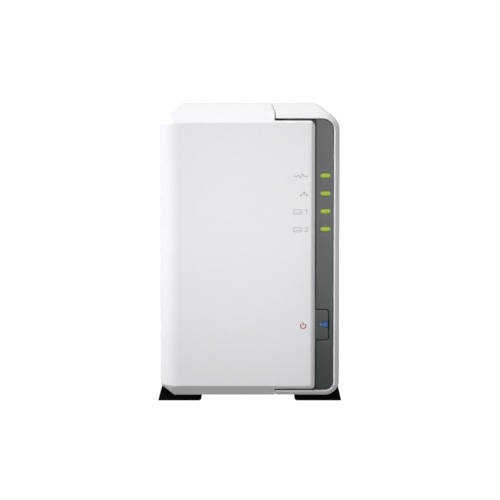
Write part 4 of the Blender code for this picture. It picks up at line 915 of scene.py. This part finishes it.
# ---- fan -------------------------------------------------------------------
def make_fan():
    h, y0, y1 = FAN_SIZE / 2, FAN_Y, FAN_Y + FAN_DEPTH
    square = rounded_rect(-h, h, FAN_Z - h, FAN_Z + h, 4, 8)
    body = join(rod("Y", 0, FAN_Z, 45.8, y0 + 0.02, y1 - 0.02, 96), merged(prism(square, "Y", y0, y0 + 4), prism(square, "Y", y1 - 4, y1)))
    body = cut(body, turned("Y", 0, FAN_Z, ((45.2, y0 - 1), (45.2, y0), (44.0, y0 + 2.2), (44.0, y1 - 2.2), (45.2, y1), (45.2, y1 + 1)), 96))
    hub = turned("Y", 0, FAN_Z, ((17.0, 104.6), (17.0, y1 - 0.7), (16.4, y1 - 0.1)), 56)
    arms = merged(*[
        prism([(math.cos(a) * u - math.sin(a) * v, FAN_Z + math.sin(a) * u + math.cos(a) * v) for u, v in rect(15, 45.0, -2.2, 2.2)], "Y", 105.2, y1 - 0.3)
        for a in (math.pi / 2 * k + math.pi / 4 for k in range(4))
    ])
    body = join(body, hub, arms, rod("Y", 0, FAN_Z, 1.8, 93.0, 105.5, 20))
    holes = [rod("Y", sx * FAN_HOLE, FAN_Z + sz * FAN_HOLE, 2.2, y0 - 5, y1 + 5, 24) for sx in (-1, 1) for sz in (-1, 1)]
    piece("fan_housing", cut(body, merged(*holes)), BLACK_AND_SHADE, "base", "fan_frame")
    piece("fan_hub_disc", turned("Y", 0, FAN_Z, ((14.2, y1 - 0.15), (14.2, y1 - 0.02), (14.0, y1)), 64), LID, "base")

    rotor = turned("Y", 0, FAN_Z, ((15.6, 86.5), (16.8, 86.8), (17.4, 87.8), (17.4, 103.9)), 80)
    for k in range(7):
        turn = 2 * math.pi * k / 7
        rings = []
        for s in range(10):
            r = 16.0 + 26.6 * s / 9
            t = s / 9
            a0, a1 = turn + 0.16 * t, turn + 0.62 - 0.02 * t
            front, back = [], []
            for c in range(9):
                u = c / 8
                a = a0 + (a1 - a0) * u
                y = 101.5 + (89.9 - 101.5) * u + 2.4 * u * (1 - u) * 0.9
                half = 0.15 + 0.72 * math.sin(math.pi * min(0.98, 0.06 + u * 0.9)) * (1 - 0.25 * t)
                front.append((r * math.cos(a), y - half, FAN_Z + r * math.sin(a)))
                back.append((r * math.cos(a), y + half, FAN_Z + r * math.sin(a)))
            rings.append(front + back[::-1])
        rotor = join(rotor, loft(rings))
    rotor = cut(rotor, rod("Y", 0, FAN_Z, 2.3, 92.0, 110, 24))
    piece("fan_impeller", rotor, BLACK_AND_SHADE, "fan_rotor", "fan_rotor", sharp=40)

    route = [(34, 83.2, 66.5), (34, 80.5, 66.3), (34.2, 78.2, 64.6), (35, 76.2, 60), (36.5, 74.2, 52), (38.2, 72.6, 43), (39.2, 71.8, 37), (39.4, 71.5, 32.3)]
    spine = smooth_path(route, 8)
    for n, (name, mat) in enumerate((("black", LEAD), ("red", LEAD_RED), ("yellow", LEAD_YELLOW))):
        strand = []
        for k, p in enumerate(spine):
            a = 2 * math.pi * (n / 3 + k / 26)
            strand.append(p + Vector((math.cos(a) * 0.72, math.sin(a) * 0.72 * 0.6, math.sin(a) * 0.72 * 0.6)))
        ob = piece(f"fan_lead_{name}", sweep(strand, 0.55, 12), mat, "base")
        if n == 0:
            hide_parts("fan_lead")
    plug = soften(box(36.4, 42.7, 67, 76, 26, 32), 0.25)
    piece("fan_plug_housing", plug, NYLON, "base", "fan_plug")


# ---- rear panel ------------------------------------------------------------
def arc_slot(r0, r1, a0, a1, n):
    """Curved slot with round ends between two radii."""
    mid, w = (r0 + r1) / 2, (r1 - r0) / 2
    a0, a1 = a0 + (w * 0.62) / mid, a1 - (w * 0.62) / mid
    arc = [a0 + (a1 - a0) * k / n for k in range(n + 1)]
    points = [(r1 * math.cos(a), FAN_Z + r1 * math.sin(a)) for a in arc]
    for end, sign, seq in ((a1, 1, range(1, 8)),):
        points += [(mid * math.cos(end) + w * (math.cos(end) * math.cos(b) - sign * math.sin(end) * math.sin(b) * 0.62), FAN_Z + mid * math.sin(end) + w * (math.sin(end) * math.cos(b) + sign * math.cos(end) * math.sin(b) * 0.62)) for b in (math.pi * k / 8 for k in seq)]
    points += [(r0 * math.cos(a), FAN_Z + r0 * math.sin(a)) for a in arc[::-1]]
    points += [(mid * math.cos(a0) + w * (math.cos(a0) * math.cos(b) - math.sin(a0) * math.sin(b) * 0.62), FAN_Z + mid * math.sin(a0) + w * (math.sin(a0) * math.cos(b) + math.cos(a0) * math.sin(b) * 0.62)) for b in (math.pi + math.pi * k / 8 for k in range(1, 8))]
    return points


def make_rear():
    c = 5.2
    outline = fillet(
        [(-47.2 + c - 1.2, 9.15), (46.7, 9.15), (46.7, 161.2), (-47.2 + c - 1.2, 161.2), (-47.2, 161.2 - c + 1.2), (-47.2, 9.15 + c - 1.2)],
        (0.6, 4.4, 6.5, 0.6, 0.6, 0.6), 10)
    panel = prism(outline, "Y", *REAR_PANEL_Y)
    slots = []
    for r0, r1 in ((16.5, 21.5), (24.0, 29.0), (31.5, 36.5), (39.0, 43.4)):
        half = math.asin(2.6 / ((r0 + r1) / 2))
        for q in range(4):
            slots.append(prism(arc_slot(r0, r1, math.pi / 2 * q + math.pi / 4 + half, math.pi / 2 * (q + 1) + math.pi / 4 - half, 22), "Y", 104, 116))
    windows = [prism(rounded_rect(a, b, u, v, 0.5, 4), "Y", 104, 116) for a, b, u, v in ((28.8, 43.1, 42.2, 59.0), (27.4, 43.1, 22.0, 36.4), (31.4, 43.1, 11.6, 20.8))]
    windows.append(rod("Y", *RESET_XZ, 1.3, 104, 116, 32))
    windows.append(prism(rounded_rect(-23.5, -16.5, 36, 39, 0.8, 6), "Y", 104, 116))
    for x, z in ((-29, REAR_SCREW_Z[0]), (-29, REAR_SCREW_Z[1]), (36, REAR_SCREW_Z[0]), (20, REAR_SCREW_Z[1])):
        windows.append(rod("Y", x, z, 1.65, 104, 116, 20))
    windows += [rod("Y", sx * FAN_HOLE, FAN_Z + sz * FAN_HOLE, 2.3, 104, 116, 24) for sx in (-1, 1) for sz in (-1, 1)]
    piece("rear_plate", soften(cut(panel, merged(*slots), merged(*windows)), 0.18), PAINT, "base", "rear_panel")


# ---- screws ----------------------------------------------------------------
def screw(head_r, head_h, shank_r, length):
    """Pan head on +Y with a cross recess, thread along -Y, origin under the head."""
    dome = [(head_r * 0.96, 0.0), (head_r, head_h * 0.12), (head_r, head_h * 0.45), (head_r * 0.94, head_h * 0.7), (head_r * 0.8, head_h * 0.9), (head_r * 0.6, head_h)]
    bm = turned("Y", 0, 0, dome, 40)
    w, l, d = head_r * 0.13, head_r * 0.56, head_h * 0.55
    shape = [(w, w), (l, w), (l, -w), (w, -w), (w, -l), (-w, -l), (-w, -w), (-l, -w), (-l, w), (-w, w), (-w, l), (w, l)]
    bm = cut(bm, loft([[(u * k, y, v * k) for u, v in shape] for k, y in ((0.55, head_h - d), (1.0, head_h), (1.06, head_h + 1))]))
    turns = int(length / 0.7)
    thread = [(shank_r, 0.3)]
    for k in range(turns):
        y = -0.4 - k * 0.7
        thread += [(shank_r, y), (shank_r * 0.82, y - 0.3), (shank_r * 0.82, y - 0.4)]
    thread += [(shank_r * 0.6, -length)]
    return join(bm, turned("Y", 0, 0, thread[::-1], 20))


def placed(bm, turn, at):
    """Copy of a screw with its head's axis turned from +Y to another one."""
    out = bm.copy()
    for v in out.verts:
        x, y, z = v.co
        v.co = Vector({"Y": (x, y, z), "Z": (x, -z, y), "-Z": (x, z, -y), "-X": (-y, x, z)}[turn]) + Vector(at)
    return out


def make_screws():
    rear_y = REAR_PANEL_Y[1] + 0.25
    case = screw(2.8, 1.7, 1.25, 8.5)
    for name, x, z in (("cover_screw_upper", -29, REAR_SCREW_Z[0]), ("cover_screw_lower", -29, REAR_SCREW_Z[1]),
                       ("rear_panel_screw_upper", 36, REAR_SCREW_Z[0]), ("rear_panel_screw_lower", 20, REAR_SCREW_Z[1])):
        piece(f"{name}_steel", placed(case, "Y", (x, rear_y, z)), SCREW, "base", name)
    fan = screw(3.6, 1.7, 1.9, 9.0)
    for n, (sx, sz) in enumerate(((-1, 1), (1, 1), (-1, -1), (1, -1)), 1):
        piece(f"fan_screw_{n}_steel", placed(fan, "Y", (sx * FAN_HOLE, rear_y, FAN_Z + sz * FAN_HOLE)), SCREW, "base", f"fan_screw_{n}")
    small = screw(2.9, 1.5, 1.4, 5.0)
    for n, x in enumerate(DRIVE_X, 1):
        k = 0
        for y in DRIVE_SCREW_Y:
            for z, turn in ((CAGE_Z[1] + 0.25, "Z"), (CAGE_Z[0] - 0.25, "-Z")):
                k += 1
                piece(f"drive_{n}_screw_{k}_steel", placed(small, turn, (x + DRIVE_SCREW_X, y, z)), SCREW, "base", f"drive_{n}_screw_{k}")
    for n, (y, z) in enumerate((POST_YZ[1], POST_YZ[2]), 1):
        piece(f"cage_screw_{n}_steel", placed(small, "-X", (CAGE_X[1] - SHEET - 0.25, y, z)), SCREW, "base", f"cage_screw_{n}")
    for n, (y, z) in enumerate((STANDOFF_YZ[1], STANDOFF_YZ[2]), 1):
        piece(f"board_screw_{n}_steel", placed(small, "-X", (BOARD_X[0] - 0.25, y, z)), SCREW, "base", f"board_screw_{n}")
    for bm in (case, fan, small):
        bm.free()


make_cover()
make_base()
make_feet()
make_front()
make_marks()
make_drives()
make_board()
make_fan()
make_rear()
make_screws()
dress("led_board_cable", RIBBON, 0.08)


# ---- studio ----------------------------------------------------------------
scene = bpy.context.scene


def plain(name, colour, glow):
    mat, tree, bsdf = look(name)
    bsdf.inputs["Base Color"].default_value = (*colour, 1.0)
    bsdf.inputs["Roughness"].default_value = 0.9
    bsdf.inputs["Specular IOR Level"].default_value = 0.0
    bsdf.inputs["Emission Color"].default_value = (1.0, 1.0, 1.0, 1.0)
    bsdf.inputs["Emission Strength"].default_value = glow
    mat.cycles.emission_sampling = "NONE"
    return mat


def set_piece(name, bm, mat):
    mesh = bpy.data.meshes.new(name)
    bm.to_mesh(mesh)
    bm.free()
    mesh.materials.append(mat)
    ob = bpy.data.objects.new(name, mesh)
    scene.collection.objects.link(ob)
    ob.visible_diffuse = ob.visible_glossy = ob.visible_transmission = ob.visible_shadow = False
    return ob


floor = bmesh.new()
bmesh.ops.create_circle(floor, cap_ends=True, segments=96, radius=40.0)
for v in floor.verts:
    v.co.z = -0.0001
set_piece("floor", floor, plain("pale_floor", (0.05, 0.05, 0.05), 1.05))
dome = bmesh.new()
bmesh.ops.create_uvsphere(dome, u_segments=48, v_segments=24, radius=44.0)
set_piece("backdrop", dome, plain("pale_backdrop", (0.0, 0.0, 0.0), 1.2))

world = bpy.data.worlds.new("studio")
scene.world = world
world.use_nodes = True
sky = world.node_tree
back = next(n for n in sky.nodes if n.type == "BACKGROUND")
height = add(sky, "ShaderNodeSeparateXYZ")
sky.links.new(add(sky, "ShaderNodeTexCoord").outputs["Generated"], height.inputs[0])
sky.links.new(ramp(sky, spread(sky, height.outputs["Z"], 0.0, 1.0, -1.0, 1.0), (0.40, (0.158,) * 3), (0.46, (0.0,) * 3), (0.54, (0.0,) * 3), (0.62, (0.009,) * 3)), back.inputs["Color"])
back.inputs["Strength"].default_value = 1.0


def lamp(name, place, aim, wide, high, power, colour=(1.0, 1.0, 1.0), reach=math.pi):
    data = bpy.data.lights.new(name, "AREA")
    data.shape, data.size, data.size_y = "RECTANGLE", wide, high
    data.energy, data.color, data.spread = power, colour, reach
    ob = bpy.data.objects.new(name, data)
    scene.collection.objects.link(ob)
    ob.location = place
    ob.rotation_euler = (Vector(aim) - Vector(place)).to_track_quat("-Z", "Y").to_euler()
    ob.visible_camera = False
    return ob


def spot(name, place, aim, cone, radius, power):
    data = bpy.data.lights.new(name, "SPOT")
    data.spot_size, data.spot_blend, data.shadow_soft_size, data.energy = math.radians(cone), 1.0, radius, power
    ob = bpy.data.objects.new(name, data)
    scene.collection.objects.link(ob)
    ob.location = place
    ob.rotation_euler = (Vector(aim) - Vector(place)).to_track_quat("-Z", "Y").to_euler()
    ob.visible_camera = False
    return ob


lamp("top_rear", (0.0, 0.90, 1.10), (0.0, 0.0, 0.15), 1.4, 0.7, 4.3)
lamp("front_card", (0.0, -1.35, 0.414), (0.0, 0.0, 0.414), 1.4, 1.0, 7.0)
lamp("left_low", (-1.10, -0.80, 0.15), (0.0, -0.10, 0.10), 0.7, 0.6, 2.0)
lamp("left_high", (-0.90, -0.40, 1.00), (0.0, -0.10, 0.10), 0.9, 0.9, 14.8)
lamp("left_rear", (-1.00, 0.80, 0.50), (0.0, 0.0, 0.10), 0.9, 1.0, 5.6)
lamp("right_side", (1.20, -0.20, 0.50), (0.0, 0.0, 0.10), 0.9, 1.0, 0.89)
lamp("right_high", (0.50, 0.35, 1.20), (0.0, 0.0, 0.14), 0.8, 0.8, 3.5)
lamp("rear", (0.0, 1.40, 0.45), (0.0, 0.10, 0.15), 1.8, 0.7, 4.0)
spot("left_foot", (-1.35, -0.45, 0.10), (-0.045, -0.105, 0.045), 9.0, 0.09, 6.0)
spot("panel_upper", (-1.05, -0.90, 0.30), (0.0, -0.11, 0.19), 17.0, 0.10, 4.77)
spot("panel_top", (0.30, -1.24, 0.66), (0.0, -0.11, 0.155), 9.0, 0.09, 4.0)
spot("panel_middle", (0.35, -1.22, 0.42), (0.0, -0.11, 0.115), 9.5, 0.09, 8.0)
spot("panel_lower", (0.0, -1.22, 0.48), (0.0, -0.11, 0.075), 8.5, 0.09, 21.0)

camera = bpy.data.cameras.new("camera")
camera.lens, camera.sensor_width = 168.74, 36.0
camera.clip_start, camera.clip_end = 0.05, 200.0
eye = bpy.data.objects.new("camera", camera)
scene.collection.objects.link(eye)
eye.location = (-0.0012, -1.41852, 0.20202)
eye.rotation_euler = (math.pi / 2 - 0.0870, 0.0, -0.00103)
scene.camera = eye
scene.view_settings.view_transform = "Standard"
scene.view_settings.look = "None"
